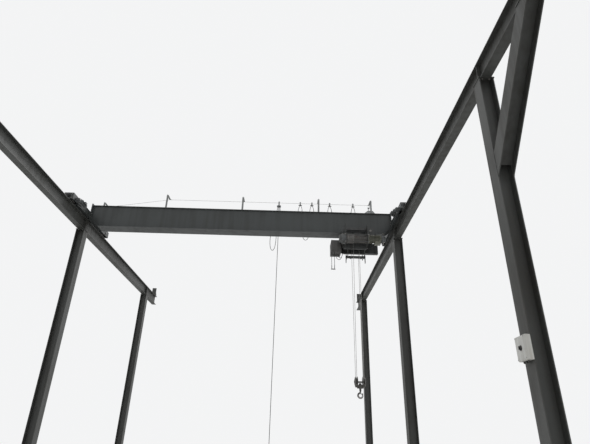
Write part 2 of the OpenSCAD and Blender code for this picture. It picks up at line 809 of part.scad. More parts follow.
module block_sheaves() {
    groove = sheave_r - rope_d / 2 - seat;
    color([0.30, 0.30, 0.30])
    translate([trolley_x + reeve_x, bridge_y, block_z])
        for (s = [-1, 1])
            translate([s * sheave_gap / 2, 0, 0]) rotate([0, 90, 0])
                difference() {
                    rotate_extrude()
                        polygon([[0, -16], [sheave_r + 12, -16], [sheave_r + 12, -11],
                                 [groove, -6], [groove, 6], [sheave_r + 12, 11],
                                 [sheave_r + 12, 16], [0, 16]]);
                    cylinder(r = 20 + fit, h = 60, center = true);
                }
}

module load_hook() {
    mid = hook_throat + hook_t / 2;
    nut_h = 30;
    tip_l = 46;
    tip_r = hook_t * 0.28;
    color([0.20, 0.20, 0.20])
    translate([trolley_x + reeve_x, bridge_y, block_z]) {
        translate([0, 0, bowl_z + mid - 4])
            cylinder(r = pin_r, h = head_z + nut_h + 7 - bowl_z - mid);
        translate([0, 0, head_z + seat]) cylinder(r = 32, h = nut_h, $fn = 6);
        // Bowl from the shank round the back to the open side, then the tapered tip
        translate([0, 0, bowl_z])
            rotate([90, 0, 0]) {
                rotate([0, 0, 90])
                    rotate_extrude(angle = 265)
                        translate([mid, 0]) circle(r = hook_t / 2);
                rotate([0, 0, -7]) translate([mid, 0, 0]) rotate([-90, 0, 0]) {
                    cylinder(r1 = hook_t / 2 - 1, r2 = tip_r, h = tip_l);
                    translate([0, 0, tip_l - 1]) sphere(r = tip_r + 1);
                }
            }
    }
}

column(-1, 1);  // column_left_1
column(-1, 2);  // column_left_2
column(-1, 3);  // column_left_3
column(-1, 4);  // column_left_4
column(1, 1);  // column_right_1
column(1, 2);  // column_right_2
column(1, 3);  // column_right_3
column(1, 4);  // column_right_4
runway_beam(-1);  // runway_beam_left
runway_beam(1);  // runway_beam_right
rail(-1);  // rail_left
rail(1);  // rail_right
knee_braces(-1);  // knee_braces_left
knee_braces(1);  // knee_braces_right
end_stops();
isolator_box();
bridge_girder();
end_truck(-1);  // end_truck_left
end_truck(1);  // end_truck_right
travel_motor(-1);  // travel_motor_left
travel_motor(1);  // travel_motor_right
truck_buffers();
bridge_wheel(-1, -1);  // bridge_wheel_left_near
bridge_wheel(-1, 1);  // bridge_wheel_left_far
bridge_wheel(1, -1);  // bridge_wheel_right_near
bridge_wheel(1, 1);  // bridge_wheel_right_far
festoon_posts();
festoon_wire();
festoon_carriers();
festoon_cable();
pendant_cable();
pendant_station();
trolley_frame();
trolley_wheels();
hoist_frame();
hoist_gearbox();
hoist_motor();
hoist_brake();
trolley_drive();
counterweight();
control_cabinet();
reeving_frame();
upper_sheave();
rope_guard();
limit_rods();
rope_drum();
hoist_ropes();
hook_block();
block_sheaves();
load_hook();
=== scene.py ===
# Overhead bridge crane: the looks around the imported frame, in metres
import json
import math
import random

import bmesh
import bpy
from mathutils import Matrix, Vector
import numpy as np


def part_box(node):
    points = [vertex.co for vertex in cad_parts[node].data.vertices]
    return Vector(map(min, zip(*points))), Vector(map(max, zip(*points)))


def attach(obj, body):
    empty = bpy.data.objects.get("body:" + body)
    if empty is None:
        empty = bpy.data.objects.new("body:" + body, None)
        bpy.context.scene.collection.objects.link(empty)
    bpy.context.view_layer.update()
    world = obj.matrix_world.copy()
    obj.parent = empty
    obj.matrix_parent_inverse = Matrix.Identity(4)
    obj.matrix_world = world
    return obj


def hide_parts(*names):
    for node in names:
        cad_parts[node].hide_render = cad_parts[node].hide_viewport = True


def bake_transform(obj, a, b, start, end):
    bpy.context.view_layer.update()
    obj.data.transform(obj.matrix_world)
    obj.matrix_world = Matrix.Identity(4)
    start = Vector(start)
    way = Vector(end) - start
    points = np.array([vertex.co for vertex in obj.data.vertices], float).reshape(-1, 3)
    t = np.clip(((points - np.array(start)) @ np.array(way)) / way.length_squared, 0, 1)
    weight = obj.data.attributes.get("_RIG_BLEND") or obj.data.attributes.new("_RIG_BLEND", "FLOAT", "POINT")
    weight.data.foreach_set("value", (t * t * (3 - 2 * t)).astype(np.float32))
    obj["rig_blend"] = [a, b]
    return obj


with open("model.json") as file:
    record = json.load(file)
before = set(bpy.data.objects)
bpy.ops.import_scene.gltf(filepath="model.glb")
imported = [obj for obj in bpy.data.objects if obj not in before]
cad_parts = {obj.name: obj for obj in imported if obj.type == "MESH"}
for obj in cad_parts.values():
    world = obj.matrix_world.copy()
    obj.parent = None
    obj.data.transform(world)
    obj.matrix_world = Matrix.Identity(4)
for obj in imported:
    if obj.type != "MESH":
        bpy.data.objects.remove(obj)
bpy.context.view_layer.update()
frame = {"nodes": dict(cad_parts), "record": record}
print("frame loaded")


def middle(node):
    low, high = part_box(node)
    return (low + high) / 2


def side(node, axis, high):
    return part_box(node)[1 if high else 0][axis]


# Places that many pieces share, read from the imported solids
bridgeY = middle("bridge_girder").y
runwayX = middle("rail_right").x
trolleyX = middle("trolley_frame").x
blockAxle = middle("block_sheaves")
girderUnder = side("bridge_girder", 2, False)
girderDeep = 0.64
girderOver = girderUnder + girderDeep
truckOver = side("end_truck_right", 2, True)
beamUnder = side("runway_beam_right", 2, False)
beamOver = side("runway_beam_right", 2, True)
columnYs = [middle(f"column_right_{i}").y for i in (1, 2, 3, 4)]


# The camera stands where the photo was taken
cameraSetup = {
    "place": (1.418, -8.30, 1.6),
    "focalPixels": 457.5,
    "framePixels": 590,
    "sensor": 36,
    "pitch": 25.68,
    "heading": -0.298,
    "roll": 1.538,
}


def makeCamera(setup):
    data = bpy.data.cameras.new("photo_camera")
    data.sensor_width = setup["sensor"]
    data.lens = setup["focalPixels"] / setup["framePixels"] * setup["sensor"]
    data.clip_end = 200
    camera = bpy.data.objects.new("photo_camera", data)
    bpy.context.collection.objects.link(camera)
    turn = Matrix.Rotation(math.radians(setup["heading"]), 4, "Z")
    turn @= Matrix.Rotation(math.radians(90 + setup["pitch"]), 4, "X")
    turn @= Matrix.Rotation(math.radians(setup["roll"]), 4, "Z")
    camera.matrix_world = Matrix.Translation(setup["place"]) @ turn
    bpy.context.scene.camera = camera


makeCamera(cameraSetup)
print("camera made")


# Shader maths: a socket that adds, subtracts and multiplies as a plain value does
class Shade:
    def __init__(self, finish, socket):
        self.finish = finish
        self.socket = socket

    def maths(self, operation, other=0.0, swapped=False):
        values = (other, self) if swapped else (self, other)
        node = self.finish.tree.nodes.new("ShaderNodeMath")
        node.operation = operation
        for socket, value in zip(node.inputs, values):
            self.finish.put(socket, value)
        return Shade(self.finish, node.outputs[0])

    def __add__(self, other):
        return self.maths("ADD", other)

    __radd__ = __add__

    def __mul__(self, other):
        return self.maths("MULTIPLY", other)

    __rmul__ = __mul__

    def __sub__(self, other):
        return self.maths("SUBTRACT", other)

    def __rsub__(self, other):
        return self.maths("SUBTRACT", other, True)

    def rise(self, start, end):
        settings = {"interpolation_type": "SMOOTHSTEP"}
        values = {"Value": self, "From Min": start, "From Max": end}
        return self.finish.node("ShaderNodeMapRange", settings, values)


class Finish:
    def __init__(self, name, metallic=0.0):
        self.material = bpy.data.materials.new(name)
        self.material.use_nodes = True
        self.tree = self.material.node_tree
        self.shader = self.tree.nodes["Principled BSDF"]
        self.shader.inputs["Metallic"].default_value = metallic
        self.place = self.node("ShaderNodeTexCoord", out="Object")

    def put(self, socket, value):
        if isinstance(value, Shade):
            self.tree.links.new(value.socket, socket)
        else:
            socket.default_value = value

    def node(self, kind, settings=None, sockets=None, out=0):
        made = self.tree.nodes.new(kind)
        for name, value in (settings or {}).items():
            setattr(made, name, value)
        for name, value in (sockets or {}).items():
            self.put(made.inputs[name], value)
        return Shade(self, made.outputs[out])

    def stretched(self, scale, shift=(0, 0, 0)):
        return self.node("ShaderNodeMapping", {}, {"Vector": self.place, "Scale": scale, "Location": shift})

    def noise(self, scale, detail=3.0, stretch=(1, 1, 1), rough=0.5):
        sockets = {"Vector": self.stretched(stretch), "Scale": scale, "Detail": detail, "Roughness": rough}
        return self.node("ShaderNodeTexNoise", {}, sockets)

    def cells(self, scale, out="Distance"):
        return self.node("ShaderNodeTexVoronoi", {}, {"Vector": self.place, "Scale": scale}, out)

    def facing(self, axis):
        normal = self.node("ShaderNodeNewGeometry", out="Normal")
        return self.node("ShaderNodeSeparateXYZ", {}, {"Vector": normal}, axis)

    def mix(self, first, second, mask):
        made = self.tree.nodes.new("ShaderNodeMix")
        made.data_type = "RGBA"
        made.clamp_factor = True
        self.put(made.inputs[0], mask)
        self.put(made.inputs[6], colour(first))
        self.put(made.inputs[7], colour(second))
        return Shade(self, made.outputs[2])

    def done(self, base, rough, height=None, depth=0.001, metallic=None):
        self.put(self.shader.inputs["Base Color"], colour(base))
        self.put(self.shader.inputs["Roughness"], rough)
        if metallic is not None:
            self.put(self.shader.inputs["Metallic"], metallic)
        if height is not None:
            bump = {"Strength": 1.0, "Distance": depth, "Height": height}
            self.put(self.shader.inputs["Normal"], self.node("ShaderNodeBump", {}, bump))
        return self.material


def colour(value):
    if isinstance(value, Shade) or len(value) == 4:
        return value
    return (*value, 1.0)


dustTone = (0.23, 0.215, 0.185)
rustBrown = (0.11, 0.045, 0.02)


# Sprayed paint on steel: grime runs down, dust lies on top, a few chips show primer
def paintedSteel(name, look):
    finish = Finish(name)
    tone = finish.noise(0.8, 5)
    runs = finish.noise(look["runScale"], 4, (1, 1, 0.07))
    grime = (tone * 0.45 + runs * 0.55).rise(0.42, 0.66)
    base = finish.mix(look["colour"], look["grimeColour"], grime * look["grime"])
    patches = finish.noise(1.7, 3).rise(0.52, 0.66)
    chips = finish.noise(42, 5, rough=0.65).rise(0.655, 0.672) * patches * look["chips"]
    base = finish.mix(base, look["chipColour"], chips)
    dust = finish.facing("Z").rise(0.35, 0.95) * finish.noise(5, 5).rise(0.25, 0.62)
    base = finish.mix(base, dustTone, dust * look["dust"])
    peel = finish.noise(look["peelScale"], 2)
    rough = look["rough"] + grime * 0.10 + dust * 0.25 + chips * 0.15 + (peel - 0.5) * 0.10
    height = peel * 0.25 - chips * 0.8 + finish.noise(30, 3) * 0.3
    return finish.done(base, rough, height, look["depth"])


# Bare machined or rolled steel with a film of grease and some rust
def bareSteel(name, look):
    finish = Finish(name, look["metallic"])
    brushed = finish.noise(look["brushScale"], 4, look["brushWay"])
    rust = (finish.noise(9, 6) * 0.6 + finish.noise(60, 3) * 0.4).rise(0.50, 0.64) * look["rust"]
    grease = finish.noise(6, 4).rise(0.45, 0.7) * look["grease"]
    base = finish.mix(look["colour"], look["paleColour"], brushed.rise(0.35, 0.7) * 0.5)
    base = finish.mix(base, look["greaseColour"], grease)
    base = finish.mix(base, rustBrown, rust)
    rough = look["rough"] + (brushed - 0.5) * 0.2 + rust * 0.4 - grease * 0.12
    metal = look["metallic"] * (1 - rust) * (1 - grease * 0.6)
    return finish.done(base, rough, brushed * 0.5 + rust * 0.5, look["depth"], metal)


# Hot dip zinc: soft spangle, dulled with age
def zincCoat(name, look):
    finish = Finish(name, 0.55)
    spangle = finish.node("ShaderNodeSeparateColor", {}, {"Color": finish.cells(look["spangle"], "Color")})
    dull = finish.noise(11, 5).rise(0.4, 0.7)
    base = finish.mix(look["colour"], look["paleColour"], spangle * 0.6)
    base = finish.mix(base, look["dullColour"], dull * 0.6)
    rough = 0.42 + spangle * 0.12 + dull * 0.2
    return finish.done(base, rough, finish.noise(120, 2) * 0.4 + spangle * 0.1, 0.0006)


# Moulded rubber or cable sheath: near black, matt, with pale scuffs
def rubberSkin(name, look):
    finish = Finish(name)
    scuffs = finish.noise(34, 6, (1, 1, 0.35)).rise(0.56, 0.70)
    base = finish.mix(look["colour"], look["scuffColour"], scuffs * 0.55)
    rough = look["rough"] + scuffs * 0.15
    return finish.done(base, rough, finish.noise(420, 2), 0.0004)


# Moulded plastic with a fine spark texture and dirt from hands
def mouldedPlastic(name, look):
    finish = Finish(name)
    hands = finish.noise(14, 4).rise(0.48, 0.68)
    base = finish.mix(look["colour"], look["dirtColour"], hands * look["dirt"])
    grain = finish.noise(900, 2)
    return finish.done(base, look["rough"] + hands * 0.12, grain, 0.0002)


# Forged or cast iron: scale in the hollows, worn bright where the load rubs
def forgedIron(name, look):
    finish = Finish(name, 0.35)
    pits = finish.noise(150, 4).rise(0.35, 0.75)
    scale = finish.noise(22, 5).rise(0.4, 0.65)
    base = finish.mix(look["colour"], look["scaleColour"], scale * 0.6)
    reach = finish.node("ShaderNodeVectorMath", {"operation": "DISTANCE"},
                        {0: finish.place, 1: look["wornAt"]}, 1)
    worn = 1 - reach.rise(look["wornRadius"] * 0.75, look["wornRadius"])
    worn = worn * (0.55 + finish.noise(40, 3) * 0.6)
    base = finish.mix(base, look["wornColour"], worn)
    rough = 0.62 - worn * 0.28 + scale * 0.08
    return finish.done(base, rough, pits * 0.5 - scale * 0.2, 0.0008, 0.35 + worn * 0.5)


darkGrease = (0.012, 0.011, 0.009)

# Each kind of finish: the names of its values, then a row for each finish
finishKinds = {
    paintedSteel: (
        ("colour", "grimeColour", "grime", "runScale", "chips", "chipColour", "dust", "rough", "peelScale",
         "depth"), {
        "runway_steel": ("runway_paint", (0.062, 0.064, 0.06), (0.036, 0.034, 0.029), 0.7, 9, 0.6,
                         (0.1, 0.055, 0.035), 0.65, 0.5, 260, 0.0009),
        "bridge_steel": ("bridge_paint", (0.05, 0.056, 0.056), (0.027, 0.028, 0.026), 0.6, 7, 0.35,
                         (0.12, 0.12, 0.11), 0.7, 0.42, 300, 0.0007),
        "trolley_steel": ("trolley_paint", (0.06, 0.063, 0.063), (0.026, 0.025, 0.022), 0.8, 14, 0.7,
                          (0.15, 0.14, 0.13), 0.6, 0.44, 340, 0.0006),
        "drive_paint": ("drive_paint", (0.115, 0.122, 0.125), (0.04, 0.038, 0.033), 0.75, 18, 0.5,
                        (0.2, 0.19, 0.18), 0.5, 0.38, 180, 0.001),
        "motor_paint": ("motor_paint", (0.165, 0.165, 0.13), (0.06, 0.057, 0.043), 0.7, 18, 0.4,
                        (0.24, 0.23, 0.2), 0.5, 0.4, 180, 0.001),
        "cabinet_paint": ("cabinet_paint", (0.07, 0.068, 0.066), (0.035, 0.032, 0.028), 0.55, 16, 0.3,
                          (0.2, 0.19, 0.17), 0.6, 0.48, 700, 0.0006),
        "block_paint": ("block_paint", (0.085, 0.082, 0.074), (0.03, 0.027, 0.022), 0.85, 20, 1.0,
                        (0.19, 0.18, 0.165), 0.4, 0.46, 300, 0.0008),
        "box_white": ("box_enamel", (0.7, 0.7, 0.67), (0.42, 0.39, 0.33), 0.5, 22, 0.4, (0.22, 0.2, 0.18),
                      0.5, 0.4, 500, 0.0005),
    }),
    bareSteel: (
        ("metallic", "colour", "paleColour", "rust", "grease", "greaseColour", "rough", "brushScale",
         "brushWay", "depth"), {
        "rail_steel": ("rail_bar", 0.75, (0.24, 0.22, 0.2), (0.48, 0.46, 0.43), 0.75, 0.4,
                       (0.04, 0.036, 0.03), 0.42, 60, (1, 0.05, 1), 0.0006),
        "wheel_steel": ("turned_steel", 0.85, (0.25, 0.24, 0.23), (0.5, 0.49, 0.47), 0.35, 0.7, darkGrease,
                        0.36, 90, (1, 0.3, 0.3), 0.0004),
        "drum_steel": ("greased_steel", 0.55, (0.085, 0.083, 0.079), (0.19, 0.185, 0.175), 0.2, 0.85,
                       darkGrease, 0.38, 80, (2, 0.4, 0.4), 0.0004),
        "rope_steel": ("wire_rope", 0.8, (0.25, 0.245, 0.235), (0.45, 0.44, 0.42), 0.15, 0.55,
                       (0.05, 0.047, 0.04), 0.4, 220, (1, 1, 0.25), 0.0003),
        "fastener": ("plated_fastener", 0.8, (0.3, 0.295, 0.28), (0.5, 0.49, 0.47), 0.45, 0.4,
                     (0.04, 0.037, 0.03), 0.42, 300, (1, 1, 1), 0.0003),
    }),
    rubberSkin: (
        ("colour", "scuffColour", "rough"), {
        "cable_sheath": ("cable_sheath", (0.018, 0.018, 0.018), (0.07, 0.068, 0.062), 0.55),
        "buffer_rubber": ("buffer_rubber", (0.016, 0.016, 0.017), (0.1, 0.095, 0.085), 0.72),
    }),
    mouldedPlastic: (
        ("colour", "dirtColour", "dirt", "rough"), {
        "pendant_yellow": ("pendant_shell", (0.72, 0.47, 0.035), (0.22, 0.15, 0.05), 0.45, 0.44),
        "button_black": ("button_black", (0.02, 0.02, 0.02), (0.09, 0.085, 0.075), 0.5, 0.38),
        "button_white": ("button_white", (0.62, 0.62, 0.6), (0.25, 0.23, 0.2), 0.4, 0.38),
    }),
}
finishes = {slot: kind(row[0], dict(zip(keys, row[1:])))
            for kind, (keys, rows) in finishKinds.items() for slot, row in rows.items()}
finishes["galvanised"] = zincCoat("galvanised", {
    "spangle": 75, "colour": (0.30, 0.31, 0.31), "paleColour": (0.44, 0.45, 0.45),
    "dullColour": (0.22, 0.22, 0.21)})
finishes["hook_steel"] = forgedIron("forged_hook", {
    "colour": (0.085, 0.083, 0.080), "scaleColour": (0.045, 0.038, 0.032),
    "wornColour": (0.34, 0.33, 0.32), "wornAt": (blockAxle.x, blockAxle.y, blockAxle.z - 0.325),
    "wornRadius": 0.075})
print("finishes made")

for part in frame["record"]["subparts"]:
    node = frame["nodes"][part["node"]]
    node.data.materials.clear()
    node.data.materials.append(finishes[part["material_slot"]])


# A kit gathers the shapes of one piece, then makes it one mesh that rides on a body
class Kit:
    def __init__(self, name, finishName, body, slotName=None):
        self.name = name
        self.finishName = finishName
        self.body = body
        self.slotName = slotName or finishName
        self.bm = bmesh.new()
        self.matrix = Matrix.Identity(4)

    def at(self, place=(0, 0, 0), turn=(0, 0, 0)):
        self.matrix = Matrix.Translation(place)
        for angle, axis in zip(turn, "XYZ"):
            self.matrix @= Matrix.Rotation(math.radians(angle), 4, axis)
        return self

    def keep(self, part):
        bmesh.ops.recalc_face_normals(part, faces=part.faces)
        part.transform(self.matrix)
        mesh = bpy.data.meshes.new("part")
        part.to_mesh(mesh)
        part.free()
        self.bm.from_mesh(mesh)
        bpy.data.meshes.remove(mesh)
        return self

    def box(self, low, high, bevel=0.0, segments=2):
        part = bmesh.new()
        bmesh.ops.create_cube(part, size=1)
        size = [b - a for a, b in zip(low, high)]
        centre = [(a + b) / 2 for a, b in zip(low, high)]
        part.transform(Matrix.Translation(centre) @ Matrix.Diagonal((*size, 1)))
        if bevel:
            bmesh.ops.bevel(part, geom=part.edges[:], offset=bevel, segments=segments,
                            affect="EDGES", profile=0.5)
        return self.keep(part)

    # Turned shape: profile is (radius, height) pairs from one end of the axis to the other
    def lathe(self, profile, start=(0, 0, 0), aim=(0, 0, 1), sides=32, ring=False):
        part = bmesh.new()
        rows = []
        for radius, height in profile:
            if radius < 1e-6:
                rows.append([part.verts.new((0, 0, height))])
                continue
            rows.append([part.verts.new((radius * math.cos(2 * math.pi * i / sides),
                                         radius * math.sin(2 * math.pi * i / sides), height))
                         for i in range(sides)])
        pairs = list(zip(rows, rows[1:]))
        if ring:
            pairs.append((rows[-1], rows[0]))
        for lower, upper in pairs:
            for i in range(sides):
                j = (i + 1) % sides
                corners = [lower[i % len(lower)], lower[j % len(lower)],
                           upper[j % len(upper)], upper[i % len(upper)]]
                corners = list(dict.fromkeys(corners))
                if len(corners) > 2:
                    part.faces.new(corners)
        turn = Vector((0, 0, 1)).rotation_difference(Vector(aim).normalized()).to_matrix().to_4x4()
        part.transform(Matrix.Translation(start) @ turn)
        return self.keep(part)

    def rod(self, start, end, radius, sides=24, bevel=0.0):
        aim = Vector(end) - Vector(start)
        length = aim.length
        profile = [(0, 0), (radius - bevel, 0), (radius, bevel), (radius, length - bevel),
                   (radius - bevel, length), (0, length)]
        if not bevel:
            profile = [(0, 0), (radius, 0), (radius, length), (0, length)]
        return self.lathe(profile, start, aim, sides)

    # Flat plate from an outline in its own XY plane, thick along Z
    def plate(self, outline, thickness, bevel=0.0, holes=()):
        curve = bpy.data.curves.new("plate", "CURVE")
        curve.dimensions = "2D"
        curve.fill_mode = "BOTH"
        curve.extrude = thickness / 2 - bevel
        curve.bevel_depth = bevel
        curve.bevel_resolution = 0
        curve.offset = -bevel
        rounds = [[(x + r * math.cos(math.pi * k / 10), y + r * math.sin(math.pi * k / 10))
                   for k in range(20)] for x, y, r in holes]
        for loop in [outline] + rounds:
            spline = curve.splines.new("POLY")
            spline.points.add(len(loop) - 1)
            for point, (x, y) in zip(spline.points, loop):
                point.co = (x, y, 0, 1)
            spline.use_cyclic_u = True
        holder = bpy.data.objects.new("plate", curve)
        bpy.context.collection.objects.link(holder)
        mesh = bpy.data.meshes.new_from_object(holder.evaluated_get(bpy.context.evaluated_depsgraph_get()))
        part = bmesh.new()
        part.from_mesh(mesh)
        bmesh.ops.remove_doubles(part, verts=part.verts, dist=1e-6)
        bpy.data.objects.remove(holder)
        bpy.data.curves.remove(curve)
        bpy.data.meshes.remove(mesh)
        return self.keep(part)

    # Bar of changing section along a path: each station is (place, across, up, outline)
    def loft(self, stations):
        part = bmesh.new()
        rows = [[part.verts.new(place + across * u + up * v) for u, v in outline]
                for place, across, up, outline in stations]
        count = len(rows[0])
        for lower, upper in zip(rows, rows[1:]):
            for i in range(count):
                j = (i + 1) % count
                part.faces.new([lower[i], lower[j], upper[j], upper[i]])
        part.faces.new(rows[0])
        part.faces.new(rows[-1])
        return self.keep(part)

    def tube(self, path, radius, sides=10):
        points = [Vector(p) for p in path]
        stations = []
        across = None
        for i, point in enumerate(points):
            along = (points[min(i + 1, len(points) - 1)] - points[max(i - 1, 0)]).normalized()
            if across is None:
                across = along.orthogonal().normalized()
            across = (across - along * across.dot(along)).normalized()
            outline = [(radius * math.cos(2 * math.pi * k / sides),
                        radius * math.sin(2 * math.pi * k / sides))
                       for k in range(sides)]
            stations.append((point, across, along.cross(across), outline))
        return self.loft(stations)

    def done(self, *replaced, sharp=38):
        mesh = bpy.data.meshes.new(self.name)
        self.bm.to_mesh(mesh)
        self.bm.free()
        mesh.shade_smooth()
        mesh.set_sharp_from_angle(angle=math.radians(sharp))
        piece = bpy.data.objects.new(self.name, mesh)
        bpy.context.collection.objects.link(piece)
        return settle(piece, self.finishName, self.body, replaced)


def settle(piece, finishName, body, replaced=()):
    piece.data.materials.clear()
    piece.data.materials.append(finishes[finishName])
    if body:
        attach(piece, body)
    if replaced:
        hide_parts(*replaced)
    return piece


# Cable gland: nut, neck and the tip that grips the cable
def glandShape(nut, neck, tip, nutEnd, neckEnd, end):
    return [(0, 0), (nut, 0), (nut, nutEnd), (neck, nutEnd + 0.002), (neck, neckEnd), (tip, end), (0, end)]


# Places on a ring round a centre, each with the way the bolts there face
def ringSpots(centre, radius, degrees, way):
    across = Vector((0, 1, 0) if way[0] else (1, 0, 0))
    spots = []
    for a in [math.radians(d) for d in degrees]:
        spots.append((Vector(centre) + (across * math.cos(a) + Vector((0, 0, 1)) * math.sin(a)) * radius,
                      way))
    return spots


def arc(centre, radius, start, end, steps=8):
    angles = [math.radians(start + (end - start) * k / steps) for k in range(steps + 1)]
    return [(centre[0] + radius * math.cos(a), centre[1] + radius * math.sin(a)) for a in angles]


def roundedBox(x0, y0, x1, y1, radius, steps=5):
    corners = [((x1 - radius, y1 - radius), 0), ((x0 + radius, y1 - radius), 90),
               ((x0 + radius, y0 + radius), 180), ((x1 - radius, y0 + radius), 270)]
    return [p for centre, start in corners for p in arc(centre, radius, start, start + 90, steps)]


# Smooth line through given points
def smoothLine(points, steps=6):
    points = [Vector(p) for p in points]
    ends = [points[0] * 2 - points[1]] + points + [points[-1] * 2 - points[-2]]
    line = []
    for a, b, c, d in zip(ends, ends[1:], ends[2:], ends[3:]):
        for k in range(steps):
            t = k / steps
            line.append(0.5 * (2 * b + (c - a) * t + (2 * a - 5 * b + 4 * c - d) * t ** 2
                               + (3 * b - a - 3 * c + d) * t ** 3))
    return line + [points[-1]]


# Geometry Nodes: a small writer for trees with named inputs
class GeoTree:
    def __init__(self, name, inputs):
        self.tree = bpy.data.node_groups.new(name, "GeometryNodeTree")
        face = self.tree.interface
        face.new_socket("Geometry", in_out="INPUT", socket_type="NodeSocketGeometry")
        for label, value in inputs.items():
            kind = "NodeSocketInt" if isinstance(value, int) else "NodeSocketFloat"
            face.new_socket(label, in_out="INPUT", socket_type=kind).default_value = value
        face.new_socket("Material", in_out="INPUT", socket_type="NodeSocketMaterial")
        face.new_socket("Geometry", in_out="OUTPUT", socket_type="NodeSocketGeometry")
        self.start = self.tree.nodes.new("NodeGroupInput")
        self.end = self.tree.nodes.new("NodeGroupOutput")

    def given(self, label):
        return self.start.outputs[label]

    def node(self, kind, settings=None, sockets=None, out=0):
        known = kind.startswith(("Shader", "Function"))
        made = self.tree.nodes.new(kind if known else "GeometryNode" + kind)
        for name, value in (settings or {}).items():
            setattr(made, name, value)
        for name, value in (sockets or {}).items():
            values = value if isinstance(value, list) else [value]
            for one in values:
                if isinstance(one, bpy.types.NodeSocket):
                    self.tree.links.new(one, made.inputs[name])
                else:
                    made.inputs[name].default_value = one
        return made.outputs[out]

    def maths(self, operation, first, second):
        return self.node("ShaderNodeMath", {"operation": operation}, {0: first, 1: second})

    def close(self, geometry):
        real = self.node("RealizeInstances", {}, {"Geometry": geometry})
        ended = self.node("SetMaterial", {}, {"Geometry": real, "Material": self.given("Material")})
        self.tree.links.new(ended, self.end.inputs[0])
        return self.tree


def runTree(name, tree, carrier, values, finishName, body, replaced=(), sharp=38):
    holder = bpy.data.objects.new(name + "_base", carrier)
    bpy.context.collection.objects.link(holder)
    modifier = holder.modifiers.new("shape", "NODES")
    modifier.node_group = tree
    sockets = {s.name: s.identifier for s in tree.interface.items_tree if s.in_out == "INPUT"}
    for label, value in {**values, "Material": finishes[finishName]}.items():
        modifier[sockets[label]] = value
    bpy.context.view_layer.update()
    mesh = bpy.data.meshes.new_from_object(holder.evaluated_get(bpy.context.evaluated_depsgraph_get()))
    bpy.data.objects.remove(holder)
    for attribute in [a.name for a in mesh.attributes if a.name in ("aim", "size")]:
        mesh.attributes.remove(mesh.attributes[attribute])
    mesh.shade_smooth()
    mesh.set_sharp_from_angle(angle=math.radians(sharp))
    mesh.name = name
    piece = bpy.data.objects.new(name, mesh)
    bpy.context.collection.objects.link(piece)
    return settle(piece, finishName, body, replaced)


def aimedPoints(name, spots):
    mesh = bpy.data.meshes.new(name)
    mesh.from_pydata([tuple(place) for place, _ in spots], [], [])
    aim = mesh.attributes.new("aim", "FLOAT_VECTOR", "POINT")
    for value, (_, way) in zip(aim.data, spots):
        value.vector = way
    return mesh


def lineMesh(name, lines):
    mesh = bpy.data.meshes.new(name)
    places, edges = [], []
    for line in lines:
        first = len(places)
        places += [tuple(p) for p in line]
        edges += [(first + i, first + i + 1) for i in range(len(line) - 1)]
    mesh.from_pydata(places, edges, [])
    return mesh


# Deeper than any thread is high past its crown, so that no two faces meet
threadSunk = 0.0018


# Hex bolt or nut: washer, hexagon with a chamfered crown, and the thread that stands out of it
def makeBoltTree():
    g = GeoTree("hex_fastener", {
        "Across Corners": 0.036, "Head Height": 0.019,
        "Washer Radius": 0.024, "Washer Height": 0.004,
        "Thread Radius": 0.012, "Thread Height": 0.02})
    half = g.maths("MULTIPLY", g.given("Across Corners"), 0.5)
    washerHalf = g.maths("MULTIPLY", g.given("Washer Height"), 0.5)
    headHalf = g.maths("MULTIPLY", g.given("Head Height"), 0.42)
    crownHalf = g.maths("MULTIPLY", g.given("Head Height"), 0.08)
    threadHalf = g.maths("MULTIPLY", g.given("Thread Height"), 0.5)
    headTop = g.maths("ADD", g.given("Washer Height"), g.given("Head Height"))

    def lifted(geometry, height):
        place = g.node("ShaderNodeCombineXYZ", {}, {"Z": height})
        return g.node("Transform", {}, {"Geometry": geometry, "Translation": place})

    washer = g.node("MeshCylinder", {}, {
        "Vertices": 18, "Radius": g.given("Washer Radius"), "Depth": g.given("Washer Height")})
    head = g.node("MeshCylinder", {}, {
        "Vertices": 6, "Radius": half, "Depth": g.maths("MULTIPLY", headHalf, 2)})
    crown = g.node("MeshCone", {}, {
        "Vertices": 12, "Radius Bottom": g.maths("MULTIPLY", half, 0.90),
        "Radius Top": g.maths("MULTIPLY", half, 0.76), "Depth": g.maths("MULTIPLY", crownHalf, 2)})
    thread = g.node("MeshCone", {}, {
        "Vertices": 10, "Radius Bottom": g.given("Thread Radius"),
        "Radius Top": g.maths("MULTIPLY", g.given("Thread Radius"), 0.86), "Depth": g.given("Thread Height")})
    bodies = [
        lifted(washer, washerHalf),
        lifted(head, g.maths("ADD", g.given("Washer Height"), headHalf)),
        lifted(crown, g.maths("SUBTRACT", headTop, g.maths("MULTIPLY", crownHalf, 1.001))),
        lifted(thread, g.maths("ADD", headTop, g.maths("SUBTRACT", threadHalf, threadSunk)))]
    joined = g.node("JoinGeometry", {}, {"Geometry": bodies})
    aim = g.node("InputNamedAttribute", {"data_type": "FLOAT_VECTOR"}, {"Name": "aim"})
    turned = g.node("FunctionNodeAlignRotationToVector", {"axis": "Z"}, {"Vector": aim})
    placed = g.node("InstanceOnPoints", {}, {
        "Points": g.given("Geometry"), "Instance": joined, "Rotation": turned})
    return g.close(placed)


